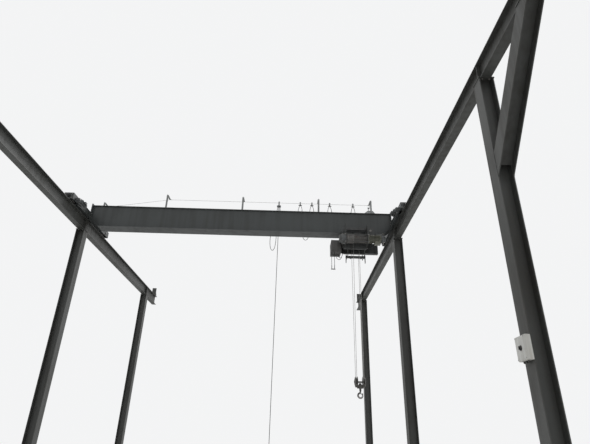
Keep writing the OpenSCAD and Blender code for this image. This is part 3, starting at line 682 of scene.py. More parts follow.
# Weld bead: a ripple along each line, uneven as a hand-laid bead is
def makeWeldTree():
    g = GeoTree("weld_bead", {
        "Bead Radius": 0.005, "Step": 0.012,
        "Unevenness": 0.5})
    line = g.node("MeshToCurve", {}, {"Mesh": g.given("Geometry")})
    resampled = g.node("ResampleCurve", {"mode": "LENGTH"}, {"Curve": line, "Length": g.given("Step")})
    place = g.node("InputPosition")
    ripple = g.node("ShaderNodeTexNoise", {}, {"Vector": place, "Scale": 70.0, "Detail": 1.0})
    uneven = g.maths("MULTIPLY", g.maths("SUBTRACT", ripple, 0.5), g.given("Unevenness"))
    size = g.maths("ADD", uneven, 1.0)
    ring = g.node("CurvePrimitiveCircle", {}, {"Resolution": 6, "Radius": g.given("Bead Radius")})
    bead = g.node("CurveToMesh", {}, {
        "Curve": resampled, "Profile Curve": ring, "Scale": size, "Fill Caps": True})
    return g.close(bead)


# Wire rope: a six-lobed section that turns once for each lay length
def makeRopeTree():
    g = GeoTree("wire_rope", {
        "Rope Radius": 0.005, "Lay Length": 0.065,
        "Step": 0.008, "Strands": 6})
    line = g.node("MeshToCurve", {}, {"Mesh": g.given("Geometry")})
    resampled = g.node("ResampleCurve", {"mode": "LENGTH"}, {"Curve": line, "Length": g.given("Step")})
    length = g.node("SplineParameter", out=1)
    turns = g.maths("DIVIDE", length, g.given("Lay Length"))
    tilted = g.node("SetCurveTilt", {}, {
        "Curve": resampled, "Tilt": g.maths("MULTIPLY", turns, 2 * math.pi)})
    lobes = g.node("CurveStar", {}, {
        "Points": g.given("Strands"), "Inner Radius": g.maths("MULTIPLY", g.given("Rope Radius"), 0.80),
        "Outer Radius": g.given("Rope Radius")})
    rope = g.node("CurveToMesh", {}, {"Curve": tilted, "Profile Curve": lobes, "Fill Caps": True})
    return g.close(rope)


boltTree = makeBoltTree()
weldTree = makeWeldTree()
ropeTree = makeRopeTree()

boltSizes = {
    "m24 nut": {"Across Corners": 0.0415, "Head Height": 0.019, "Washer Radius": 0.0255,
                "Washer Height": 0.004,
                "Thread Radius": 0.012, "Thread Height": 0.030},
    "m24 low nut": {"Across Corners": 0.0415, "Head Height": 0.010, "Washer Radius": 0.0255,
                    "Washer Height": 0.004,
                    "Thread Radius": 0.0122, "Thread Height": 0.004},
    "m16 nut": {"Across Corners": 0.0277, "Head Height": 0.013, "Washer Radius": 0.016,
                "Washer Height": 0.003,
                "Thread Radius": 0.008, "Thread Height": 0.010},
    "m16 head": {"Across Corners": 0.0277, "Head Height": 0.010, "Washer Radius": 0.016,
                 "Washer Height": 0.003,
                 "Thread Radius": 0.011, "Thread Height": 0.0015},
    "m12 head": {"Across Corners": 0.0219, "Head Height": 0.0075, "Washer Radius": 0.0125,
                 "Washer Height": 0.0025,
                 "Thread Radius": 0.008, "Thread Height": 0.0015},
    "m8 head": {"Across Corners": 0.015, "Head Height": 0.0053, "Washer Radius": 0.008,
                "Washer Height": 0.0016,
                "Thread Radius": 0.0055, "Thread Height": 0.0012},
    "m5 screw": {"Across Corners": 0.010, "Head Height": 0.0035, "Washer Radius": 0.0055,
                 "Washer Height": 0.001,
                 "Thread Radius": 0.003, "Thread Height": 0.0012},
}


def bolts(name, size, spots, body, finishName="fastener"):
    return runTree(name, boltTree, aimedPoints(name, spots), boltSizes[size], finishName, body)


def welds(name, lines, radius, body, finishName, step=0.012):
    values = {"Bead Radius": radius, "Step": step, "Unevenness": 0.55}
    return runTree(name, weldTree, lineMesh(name, lines), values, finishName, body)


def ropes(name, lines, radius, body, replaced=(), step=0.008):
    values = {"Rope Radius": radius, "Lay Length": radius * 13, "Step": step, "Strands": 6}
    return runTree(name, ropeTree, lineMesh(name, lines), values, "rope_steel", body, replaced, 70)


print("tools ready")


# Runways: anchors, cap bolts, welds, rail stitches and the isolator box
runwayLook = {
    "anchorHalf": 0.15, "baseThick": 0.025, "capThick": 0.015, "capBoltX": 0.055, "capBoltY": 0.085,
    "halfDepth": 0.11, "flange": 0.014, "web": 0.009, "beamFlange": 0.012,
    "stitchPitch": 0.5, "stitchLength": 0.12, "railHalf": 0.025, "stopY": 10.15,
    "braceRun": 1.40, "braceDrop": 1.535, "braceHalf": 0.179,
}


def columnOutline(x, y, z, look):
    h, t, w = look["halfDepth"], look["halfDepth"] - look["flange"], look["web"] / 2
    lines = []
    for s in (-1, 1):
        lines.append([(x + s * h, y - h, z), (x + s * h, y + h, z)])
        for e in (-1, 1):
            lines.append([(x + s * t, y + e * h, z), (x + s * t, y + e * w, z)])
        lines.append([(x - t, y + s * w, z), (x + t, y + s * w, z)])
    return lines


def dressRunways(look):
    anchors, capHeads, capNuts = [], [], []
    baseWelds, capWelds, beamWelds, stitches, braceWelds = [], [], [], [], []
    capUnder = beamUnder - look["capThick"]
    flangeTop = beamUnder + look["beamFlange"]
    for x in (-runwayX, runwayX):
        for y in columnYs:
            for sx in (-1, 1):
                for sy in (-1, 1):
                    anchors.append(((x + sx * look["anchorHalf"], y + sy * look["anchorHalf"],
                                     look["baseThick"]),
                                    (0, 0, 1)))
                    bolt = (x + sx * look["capBoltX"], y + sy * look["capBoltY"])
                    capHeads.append(((*bolt, capUnder), (0, 0, -1)))
                    capNuts.append(((*bolt, flangeTop), (0, 0, 1)))
            baseWelds += columnOutline(x, y, look["baseThick"], look)
            capWelds += columnOutline(x, y, capUnder, look)
            for sy in (-1, 1):
                for sx in (-1, 1):
                    foot = (x + sx * 0.072, y + sy * 0.005, flangeTop)
                    corner = (x + sx * 0.0045, y + sy * 0.005, flangeTop)
                    head = (x + sx * 0.0045, y + sy * 0.005, beamOver - look["beamFlange"])
                    beamWelds.append([foot, corner, head])
        for y, lean in ((columnYs[0], 1), (columnYs[1], -1)):
            plateY = y + lean * (look["halfDepth"] + look["braceRun"])
            for sx in (-1, 1):
                for sy in (-1, 1):
                    bolt = (x + sx * look["capBoltX"], plateY + sy * 0.125)
                    capHeads.append(((*bolt, capUnder), (0, 0, -1)))
                    capNuts.append(((*bolt, flangeTop), (0, 0, 1)))
                for edge in (0.096, 0.110):
                    face = y + lean * look["halfDepth"]
                    middleZ = capUnder - look["braceDrop"]
                    braceWelds.append([(x + sx * edge, face, middleZ - look["braceHalf"]),
                                       (x + sx * edge, face, middleZ + look["braceHalf"])])
        count = int(2 * (look["stopY"] - 0.3) / look["stitchPitch"])
        for i in range(count):
            start = -look["stopY"] + 0.3 + i * look["stitchPitch"]
            for s in (-1, 1):
                edge = x + s * look["railHalf"]
                stitches.append([(edge, start, beamOver), (edge, start + look["stitchLength"], beamOver)])
        for s in (-1, 1):
            face = s * look["stopY"]
            beamWelds.append([(x - 0.078, face, beamOver), (x + 0.078, face, beamOver)])
            for gusset in (-0.045, 0.055):
                beamWelds.append([(x + gusset, face + s * 0.02, beamOver),
                                  (x + gusset, face + s * 0.20, beamOver)])
    bolts("anchor_nuts", "m24 nut", anchors, "structure")
    bolts("cap_bolt_heads", "m16 head", capHeads, "structure")
    bolts("cap_bolt_nuts", "m16 nut", capNuts, "structure")
    welds("base_welds", baseWelds, 0.006, "structure", "runway_steel")
    welds("cap_welds", capWelds, 0.005, "structure", "runway_steel")
    welds("beam_welds", beamWelds, 0.004, "structure", "runway_steel")
    welds("rail_stitches", stitches, 0.005, "structure", "rail_steel")
    welds("brace_welds", braceWelds, 0.005, "structure", "runway_steel")


dressRunways(runwayLook)

isolatorLook = {"lid": 0.010, "corner": 0.006, "knob": 0.024, "gland": 0.012}


def buildIsolator(look):
    low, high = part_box("isolator_box")
    body = Kit("isolator_case", "box_white", "structure")
    body.box((low.x + look["lid"], low.y, low.z), (high.x, high.y, high.z), look["corner"])
    body.box((low.x, low.y + 0.006, low.z + 0.006),
             (low.x + look["lid"] + 0.002, high.y - 0.006, high.z - 0.006), 0.003)
    for z in (low.z + 0.05, high.z - 0.05):
        body.rod((low.x + 0.008, high.y - 0.004, z - 0.014), (low.x + 0.008, high.y - 0.004, z + 0.014),
                 0.005, 16, 0.001)
    body.done("isolator_box")
    centreY, centreZ = (low.y + high.y) / 2, (low.z + high.z) / 2
    knob = Kit("isolator_knob", "button_black", "structure", "box_white")
    knob.lathe([(0, 0), (look["knob"] + 0.008, 0), (look["knob"] + 0.008, 0.003), (look["knob"], 0.005),
                (look["knob"], 0.012), (look["knob"] - 0.003, 0.015), (0, 0.015)],
               (low.x, centreY, centreZ), (-1, 0, 0), 28)
    knob.box((low.x - 0.026, centreY - 0.006, centreZ - 0.021),
             (low.x - 0.014, centreY + 0.006, centreZ + 0.021), 0.003)
    knob.done()
    glands = Kit("isolator_glands", "button_black", "structure", "box_white")
    for offset in (-0.055, 0.0, 0.055):
        glands.lathe(glandShape(look["gland"], look["gland"] * 0.85, 0.006, 0.008, 0.020, 0.026),
                     (high.x - 0.036, centreY + offset, low.z), (0, 0, -1), 12)
    glands.done()
    corners = [((low.x, y, z), (-1, 0, 0)) for y in (low.y + 0.02, high.y - 0.02)
               for z in (low.z + 0.02, high.z - 0.02)]
    bolts("isolator_screws", "m5 screw", corners, "structure")


buildIsolator(isolatorLook)
print("runways dressed")

# Bridge: seams, end plate bolts, truck fittings, buffers and travel drives
bridgeLook = {
    "webFace": 0.11, "flange": 0.015, "topPlate": 0.012, "endFace": 4.105, "truckHalf": 0.12,
    "truckLength": 2.5, "wheelbase": 2.1, "axleZ": 7.0403, "plateBoltY": 0.155, "cut": 0.25, "rise": 0.19,
}


def dressBridge(look):
    seams, ends = [], []
    low = girderUnder + look["flange"]
    high = girderOver - look["topPlate"]
    face = look["endFace"]
    bend = face - look["cut"]
    raised = low + look["rise"]
    for s in (-1, 1):
        y = bridgeY + s * look["webFace"]
        seams.append([(-face + 0.01, y, high), (face - 0.01, y, high)])
        seams.append([(-face + 0.003, y, raised), (-bend, y, low), (bend, y, low), (face - 0.003, y, raised)])
        for e in (-1, 1):
            ends.append([(e * face, y, raised), (e * face, y, high)])
    for e in (-1, 1):
        ends.append([(e * face, bridgeY - 0.185, raised), (e * face, bridgeY - 0.12, raised)])
        ends.append([(e * face, bridgeY + 0.12, raised), (e * face, bridgeY + 0.185, raised)])
    welds("girder_seams", seams, 0.0045, "bridge", "bridge_steel", 0.025)
    welds("girder_end_welds", ends, 0.006, "bridge", "bridge_steel")
    plateBolts, keeperBolts, bufferBolts, lidBolts = [], [], [], []
    edges = []
    keepers = Kit("axle_keepers", "galvanised", "bridge")
    lids = Kit("wheel_covers", "bridge_steel", "bridge")
    truckUnder = side("end_truck_right", 2, False)
    for e in (-1, 1):
        for s in (-1, 1):
            for z in (truckUnder + 0.045, truckUnder + 0.125):
                plateBolts.append(((e * face, bridgeY + s * look["plateBoltY"], z), (-e, 0, 0)))
            wheelY = bridgeY + s * look["wheelbase"] / 2
            for f in (-1, 1):
                flank = e * runwayX + f * look["truckHalf"]
                edges.append([(flank, bridgeY + s * 0.02, truckUnder + 0.001),
                              (flank, bridgeY + s * 0.9, truckUnder + 0.001)])
                # The drive's case covers the inner end of the near axle
                if e * f < 0 and s < 0:
                    continue
                keepers.box((min(flank, flank + f * 0.008), wheelY - 0.045, look["axleZ"] + 0.016),
                            (max(flank, flank + f * 0.008), wheelY + 0.045, look["axleZ"] + 0.041), 0.002)
                for o in (-0.033, 0.033):
                    keeperBolts.append(((flank + f * 0.008, wheelY + o, look["axleZ"] + 0.0285), (f, 0, 0)))
            endY = bridgeY + s * look["truckLength"] / 2
            for ox in (-0.085, 0.085):
                for oz in (-0.055, 0.055):
                    bufferBolts.append(((e * runwayX + ox, endY, truckUnder + 0.085 + oz), (0, s, 0)))
                for oy in (-0.11, 0.11):
                    lidBolts.append(((e * runwayX + ox, wheelY + oy, truckOver + 0.006), (0, 0, 1)))
            lids.box((e * runwayX - 0.105, wheelY - 0.135, truckOver),
                     (e * runwayX + 0.105, wheelY + 0.135, truckOver + 0.006), 0.002)
    keepers.done()
    lids.done()
    bolts("end_plate_bolts", "m16 head", plateBolts, "bridge")
    bolts("keeper_bolts", "m8 head", keeperBolts, "bridge")
    bolts("buffer_bolts", "m12 head", bufferBolts, "bridge")
    bolts("cover_bolts", "m8 head", lidBolts, "bridge")
    welds("truck_edges", edges, 0.003, "bridge", "bridge_steel", 0.02)


dressBridge(bridgeLook)

bufferLook = {"plate": 0.048, "body": 0.039, "tip": 0.030, "length": 0.068, "rings": 3}


def buildBuffers(look):
    rubber = Kit("cell_buffers", "buffer_rubber", "bridge")
    z = (side("truck_buffers", 2, True) + side("truck_buffers", 2, False)) / 2
    for e in (-1, 1):
        for s in (-1, 1):
            profile = [(0, 0), (look["plate"], 0), (look["plate"], 0.010), (look["plate"] - 0.002, 0.013)]
            for k in range(look["rings"]):
                start = 0.015 + k * 0.014
                size = look["body"] - k * 0.002
                profile += [(size - 0.003, start), (size, start + 0.003), (size, start + 0.010),
                            (size - 0.003, start + 0.012)]
            profile += arc((look["tip"] - 0.012, look["length"] - 0.012), 0.012, 0, 90,
                           4) + [(0, look["length"])]
            place = (e * runwayX, bridgeY + s * bridgeLook["truckLength"] / 2, z)
            rubber.lathe(profile, place, (0, s, 0), 28)
    rubber.done("truck_buffers")


buildBuffers(bufferLook)

driveLook = {
    "axleR": 0.062, "pinionR": 0.054, "pinion": (0.090, 0.026), "depth": 0.090, "motorIn": 0.072,
    "motorStart": 0.128,
    "motorR": 0.052, "motorLength": 0.250, "fins": 24,
}


# Cooling fins: thin bars set round a motor, along its axis
def makeFinTree():
    g = GeoTree("cooling_fins", {
        "Fins": 28, "Core Radius": 0.06,
        "Fin Height": 0.014, "Fin Thickness": 0.003,
        "Length": 0.25})
    reach = g.maths("ADD", g.given("Core Radius"), g.maths("MULTIPLY", g.given("Fin Height"), 0.45))
    ring = g.node("MeshCircle", {}, {"Vertices": g.given("Fins"), "Radius": reach})
    step = g.maths("DIVIDE", 2 * math.pi, g.given("Fins"))
    angle = g.maths("MULTIPLY", g.node("InputIndex"), step)
    turn = g.node("ShaderNodeCombineXYZ", {}, {"Z": angle})
    size = g.node("ShaderNodeCombineXYZ", {}, {
        "X": g.given("Fin Height"), "Y": g.given("Fin Thickness"), "Z": g.given("Length")})
    fin = g.node("MeshCube", {}, {"Size": size})
    placed = g.node("InstanceOnPoints", {}, {"Points": ring, "Instance": fin, "Rotation": turn})
    return g.close(placed)


finTree = makeFinTree()


def fins(name, count, core, height, length, centre, axis, body, finishName):
    values = {"Fins": count, "Core Radius": core, "Fin Height": height, "Fin Thickness": 0.0030,
              "Length": length}
    piece = runTree(name, finTree, bpy.data.meshes.new(name), values, finishName, body)
    turn = Vector((0, 0, 1)).rotation_difference(Vector(axis)).to_matrix().to_4x4()
    piece.data.transform(Matrix.Translation(centre) @ turn)
    return piece


# Outline of a gear case round two shafts, the second at the given offset from the first
def caseOutline(first, second, offset, inset):
    reach = math.hypot(*offset)
    lean = math.degrees(math.atan2(offset[1], offset[0]))
    spread = math.degrees(math.acos((first - second) / reach))
    return arc((0, 0), first - inset, lean + spread, lean + 360 - spread, 18) + \
        arc(offset, second - inset, lean - spread, lean + spread, 16)


# Small motor on a flange, its axis running from start along aim
def addMotor(kit, start, aim, r, length):
    profile = [(0, 0), (r + 0.006, 0), (r + 0.008, 0.002), (r + 0.008, 0.011), (r + 0.005, 0.014),
               (r - 0.005, 0.016),
               (r - 0.008, 0.021), (r - 0.008, length - 0.053), (r - 0.002, length - 0.048),
               (r, length - 0.044),
               (r, length - 0.010), (r - 0.008, length - 0.001), (0.022, length), (0.020, length - 0.003),
               (0, length - 0.003)]
    kit.lathe(profile, start, aim, 40)


# Ten black discs on the fan cowl's end stand for its vent holes: painted shade in the openings
def motorVentShade(kit, start, aim, r, length):
    aim = Vector(aim)
    across = aim.orthogonal().normalized()
    up = aim.cross(across)
    for k in range(10):
        a = 2 * math.pi * k / 10
        centre = Vector(start) + aim * length + (across * math.cos(a) + up * math.sin(a)) * (r - 0.020)
        kit.rod(centre - aim * 0.002, centre + aim * 0.0004, 0.0055, 10)


def buildTravelDrive(e, look):
    word = "left" if e < 0 else "right"
    flank = e * (runwayX - bridgeLook["truckHalf"])
    y = bridgeY - bridgeLook["wheelbase"] / 2
    z = bridgeLook["axleZ"]
    case = Kit(f"travel_gearbox_{word}", "drive_paint", "bridge")
    for start, end, inset in ((0, 0.012, 0), (0.011, 0.041, 0.007), (0.040, 0.052, 0.0005),
                              (0.051, 0.085, 0.007), (0.084, 0.090, 0.011)):
        outline = caseOutline(look["axleR"], look["pinionR"], look["pinion"], inset)
        case.at((flank - e * (start + end) / 2, y, z), (90, 90, 0)).plate(outline, end - start, 0.0012)
    for k in range(7):
        a = math.radians(120 + 25 * k)
        for start, end in ((0.012, 0.040), (0.052, 0.083)):
            case.at((flank - e * (start + end) / 2, y, z), (math.degrees(a), 0, 0))
            case.box((-(end - start) / 2, 0.045, -0.003), ((end - start) / 2, look["axleR"] - 0.002, 0.003),
                     0.001)
    case.at()
    case.lathe([(0, 0), (0.040, 0), (0.040, 0.004), (0.034, 0.010), (0.020, 0.012), (0.018, 0.014),
                (0, 0.014)],
               (flank - e * look["depth"], y, z), (-e, 0, 0), 32)
    motor = (flank - e * look["motorIn"], y + look["motorStart"], z + look["pinion"][1])
    case.rod((motor[0], motor[1] - 0.034, motor[2]), (motor[0], motor[1] + 0.002, motor[2]), 0.041, 32)
    addMotor(case, motor, (0, 1, 0), look["motorR"], look["motorLength"])
    x0, x1 = motor[0] - e * 0.040, motor[0] - e * 0.084
    lid = x1 + e * 0.010
    inner = x1 + e * 0.005
    case.box((min(x0, inner), y + 0.193, motor[2] - 0.031), (max(x0, inner), y + 0.272, motor[2] + 0.031),
             0.004)
    case.box((min(x1, lid), y + 0.190, motor[2] - 0.034), (max(x1, lid), y + 0.275, motor[2] + 0.034), 0.003)
    case.done(f"travel_motor_{word}")
    fins(f"travel_fins_{word}", look["fins"], look["motorR"] - 0.009, 0.009, look["motorLength"] - 0.066,
         (motor[0], motor[1] + 0.110, motor[2]), (0, 1, 0), "bridge", "drive_paint")
    screws = [((x1, y + 0.2325 + sy * 0.036, motor[2] + sz * 0.028), (-e, 0, 0)) for sy in (-1, 1)
              for sz in (-1, 1)]
    screws += ringSpots((flank - e * 0.052, y, z), 0.0575, range(115, 284, 28), (-e, 0, 0))
    bolts(f"travel_screws_{word}", "m5 screw", screws, "bridge")
    # The black discs for the cowl's vent holes are painted shade; the gland on the terminal box is real black
    # plastic
    grille = Kit(f"travel_grille_{word}", "button_black", "bridge", "drive_paint")
    motorVentShade(grille, motor, (0, 1, 0), look["motorR"], look["motorLength"])
    gland = glandShape(0.011, 0.009, 0.006, 0.008, 0.018, 0.024)
    grille.lathe(gland, (motor[0] - e * 0.062, y + 0.2325, motor[2] - 0.033), (0, 0, -1), 12)
    grille.done()


for hand in (-1, 1):
    buildTravelDrive(hand, driveLook)
print("bridge dressed")

# Festoon: post bolts, stay wire, carriers, cables, pendant cord and station
festoonLook = {
    "posts": (-2.20, -0.03, 2.14), "carriers": (1.62, 1.96, 2.48, 3.16), "lead": 1.0, "postFace": 0.15,
    "wireY": 0.40, "wireZ": 7.90, "wireRadius": 0.004, "left": -3.95, "right": 3.64, "anchorZ": 7.60,
    "cable": 0.014,
    "saddleZ": 7.83, "boxUnder": 7.755,
}
festoonY = bridgeY + festoonLook["wireY"]
# The route points of the solids, in metres; the slack loop is rounder at its bottom
festoonRoute = [
    (3.612, 7.790), (3.612, 7.740), (3.600, 7.500), (3.570, 7.120), (3.430, 6.950), (3.260, 7.120),
    (3.220, 7.650),
    (3.160, 7.830), (3.100, 7.650), (3.050, 7.160), (2.820, 6.990), (2.590, 7.160), (2.540, 7.650),
    (2.480, 7.830), (2.420, 7.650), (2.390, 7.060), (2.220, 6.850), (2.050, 7.060), (2.020, 7.650),
    (1.960, 7.830), (1.900, 7.650), (1.890, 6.930), (1.790, 6.740), (1.690, 6.930), (1.680, 7.650),
    (1.620, 7.830), (1.560, 7.650), (1.520, 7.190), (1.320, 7.010), (1.120, 7.190), (1.048, 7.620),
    (1.038, 7.720), (1.038, 7.755)]
slackRoute = [
    (0.962, 7.755), (0.962, 7.715), (0.930, 7.580), (0.850, 7.200), (0.806, 6.900), (0.791, 6.720),
    (0.796, 6.570),
    (0.820, 6.452), (0.868, 6.402), (0.916, 6.452), (0.942, 6.570), (0.955, 6.720), (0.978, 7.300),
    (0.986, 7.715),
    (0.986, 7.755)]


# Angle post with its foot plate and the arm that reaches out to the wire
def addPost(kit, x, z):
    inner, outer = bridgeY + 0.09, bridgeY + festoonLook["postFace"]
    top = girderOver
    kit.box((x - 0.040, inner, top), (x + 0.040, outer, top + 0.008), 0.0015)
    kit.box((x - 0.025, outer - 0.008, top + 0.006), (x + 0.025, outer, z + 0.020), 0.0015)
    kit.box((x - 0.004, outer - 0.050, top + 0.006), (x + 0.004, outer - 0.006, z + 0.018), 0.0012)
    kit.box((x - 0.025, outer - 0.002, z + 0.012), (x + 0.025, festoonY + 0.015, z + 0.020), 0.0015)


def buildWire(look):
    wire = Kit("wire_fittings", "galvanised", "bridge")
    top = girderOver
    left, right, low = look["left"], look["right"], look["anchorZ"]
    z, y = look["wireZ"], festoonY
    addPost(wire, left, low)
    addPost(wire, right, z)
    # Left end: a fork under the arm, and the pin of the stay
    for s in (-1, 1):
        wire.box((left - 0.025, y + s * 0.0095 - 0.0025, low - 0.014),
                 (left + 0.005, y + s * 0.0095 + 0.0025, low + 0.013), 0.001)
    wire.rod((left - 0.008, y - 0.0145, low), (left - 0.008, y + 0.0145, low), 0.005, 12, 0.001)
    # Right end: hanger plate, cable clamp and the gusset that takes the wire's pull
    wire.box((right - 0.005, y - 0.012, z - 0.110), (right + 0.005, y + 0.012, z + 0.013), 0.0015)
    wire.box((right - 0.050, y - 0.014, z - 0.110), (right - 0.004, y + 0.014, z - 0.100), 0.002)
    wire.box((right - 0.050, y - 0.014, z - 0.094), (right - 0.004, y + 0.014, z - 0.070), 0.003)
    gusset = [(-0.330, 0.007), (0.210, 0.007), (0.210, 0.020), (0.045, 0.220), (0.035, 0.225),
              (-0.095, 0.225), (-0.105, 0.220), (-0.330, 0.020)]
    holes = [(-0.110, 0.090, 0.034), (0.055, 0.080, 0.028)]
    wire.at((right, bridgeY + look["postFace"] - 0.0125, top), (90, 0, 0)).plate(gusset, 0.011, 0.001, holes)
    wire.at()
    # Turnbuckle in the sloping stay, and thimbles at the wire's ends
    start = Vector((left - 0.004, y, low))
    end = Vector((look["posts"][0], y, z))
    way = (end - start).normalized()
    for offset in (-0.0045, 0.0045):
        shift = Vector((0, offset * 1.9, 0))
        wire.rod(start + way * 0.12 + shift, start + way * 0.30 + shift, 0.0032, 8)
    for k in (0.11, 0.285):
        wire.rod(start + way * k, start + way * (k + 0.024), 0.0105, 12, 0.002)
    for k in (0.005, 0.31):
        wire.rod(start + way * k, start + way * (k + 0.110), 0.0045, 8)
    for a, b in (((right - 0.055, y, z), (right - 0.004, y, z)),
                 ((look["posts"][0] + 0.02, y, z), (look["posts"][0] + 0.07, y, z))):
        wire.rod(a, b, 0.007, 12, 0.002)
    wire.done("festoon_wire")
    lines = [[tuple(start + way * 0.40), tuple(end), (right, y, z)]]
    ropes("stay_wire", lines, look["wireRadius"], "bridge", ("festoon_wire",), 0.012)
    every = (left, *look["posts"], right)
    feet = [((x + s * 0.032, bridgeY + look["postFace"] - 0.047 + 0.034 * o, top + 0.008), (0, 0, 1))
            for x in every for s in (-1, 1) for o in (0, 1)]
    bolts("post_bolts", "m8 head", feet, "bridge")
    webs = []
    for x in every:
        for s in (-1, 1):
            webs.append([(x + s * 0.004, bridgeY + 0.10, top + 0.008),
                         (x + s * 0.004, bridgeY + 0.142, top + 0.008)])
        webs.append([(x - 0.025, bridgeY + 0.1505, top + 0.009), (x + 0.025, bridgeY + 0.1505, top + 0.009)])
    for a, b in ((-0.325, -0.045), (0.045, 0.205)):
        webs.append([(right + a, bridgeY + 0.1315, top + 0.001), (right + b, bridgeY + 0.1315, top + 0.001)])
    welds("post_welds", webs, 0.003, "bridge", "galvanised")


buildWire(festoonLook)


def addCarrier(kit, wheels, x, under, look):
    y, z = festoonY, look["wireZ"]
    axle = z + look["wireRadius"] + 0.0123
    profile = [(0, -0.014), (0.016, -0.014), (0.016, -0.009), (0.0118, -0.003), (0.0118, 0.003),
               (0.016, 0.009),
               (0.016, 0.014), (0, 0.014)]
    wheels.lathe(profile, (x, y, axle), (0, 1, 0), 24)
    for s in (-1, 1):
        kit.at((x, y + s * 0.016, 0), (90, 0, 0))
        outline = roundedBox(-0.020, under, 0.020, z + 0.040, 0.008, 4)
        kit.plate(outline, 0.005, 0.0008)
        kit.at()
        kit.rod((x, y + s * 0.013, axle), (x, y + s * 0.0225, axle), 0.007, 6, 0.001)
        kit.rod((x, y + s * 0.013, z - 0.022), (x, y + s * 0.0225, z - 0.022), 0.005, 6, 0.001)
    kit.rod((x, y - 0.016, z - 0.022), (x, y + 0.016, z - 0.022), 0.004, 10)


def buildCarriers(look):
    plates = Kit("carrier_plates", "galvanised", "bridge")
    wheels = Kit("carrier_wheels", "button_black", "bridge", "cable_sheath")
    saddles = Kit("carrier_saddles", "button_black", "bridge", "cable_sheath")
    top = look["saddleZ"] + look["cable"] / 2 + 0.0003
    for x in look["carriers"]:
        addCarrier(plates, wheels, x, top + 0.004, look)
        arch = [(x - 0.050 + 0.1 * k / 12, top + 0.010 - 0.010 * abs(k - 6) ** 2 / 36) for k in range(13)]
        for s in (-1, 1):
            under = [(px, pz - 0.004) for px, pz in arch]
            strip = arch + under[::-1]
            saddles.at((0, festoonY + s * 0.0175, 0), (90, 0, 0)).plate(strip, 0.003)
        saddles.at()
        saddles.tube([(px, festoonY, pz - 0.004) for px, pz in arch], 0.0060, 8)
        saddles.box((x - 0.045, festoonY - 0.018, top + 0.0005), (x + 0.045, festoonY + 0.018, top + 0.005),
                    0.002)
    addCarrier(plates, wheels, look["lead"], look["boxUnder"] + 0.054, look)
    plates.done("festoon_carriers")
    wheels.done("festoon_carriers")
    saddles.done("festoon_carriers")
    case = Kit("junction_box", "drive_paint", "bridge")
    x, z = look["lead"], look["boxUnder"]
    case.box((x - 0.056, festoonY - 0.024, z + 0.008), (x + 0.056, festoonY + 0.021, z + 0.057), 0.004)
    case.box((x - 0.054, festoonY + 0.019, z + 0.010), (x + 0.054, festoonY + 0.024, z + 0.055), 0.003)
    case.done("festoon_carriers")
    glands = Kit("junction_glands", "button_black", "bridge", "cable_sheath")
    for gx in (0.962, 0.986, 1.012, 1.038):
        glands.lathe([(0.0071, 0), (0.0095, 0), (0.0105, 0.002), (0.0105, 0.009), (0.0071, 0.009)],
                     (gx, festoonY, z), (0, 0, 1), 16, True)
    glands.done("festoon_carriers")
    screws = [((x + s * 0.046, festoonY + 0.024, z + 0.018 + o * 0.03), (0, 1, 0)) for s in (-1, 1)
              for o in (0, 1)]
    bolts("junction_screws", "m5 screw", screws, "bridge")


buildCarriers(festoonLook)


def buildFestoonCables(look):
    cables = Kit("festoon_loops", "cable_sheath", "bridge")
    for route in (festoonRoute, slackRoute):
        inner = smoothLine([(x, festoonY, z) for x, z in route], 5)
        cables.tube(inner, look["cable"] / 2, 10)
    cables.done("festoon_cable", sharp=80)
    ties = Kit("cable_ties", "button_black", "bridge", "cable_sheath")
    for x in look["carriers"]:
        for s in (-1, 1):
            place = Vector((x + s * 0.052, festoonY, look["saddleZ"] - 0.165))
            ties.rod(place - Vector((0, 0, 0.002)), place + Vector((0, 0, 0.002)), 0.0087, 12)
    ties.done()


buildFestoonCables(festoonLook)
print("festoon built")

pendantLook = {
    "x": 1.012, "exit": 7.755, "cableEnd": 1.16, "top": 1.35, "cable": 0.014, "buttonPitch": 0.042,
    "firstButton": 0.080, "halfX": 0.038, "front": 0.033,
}


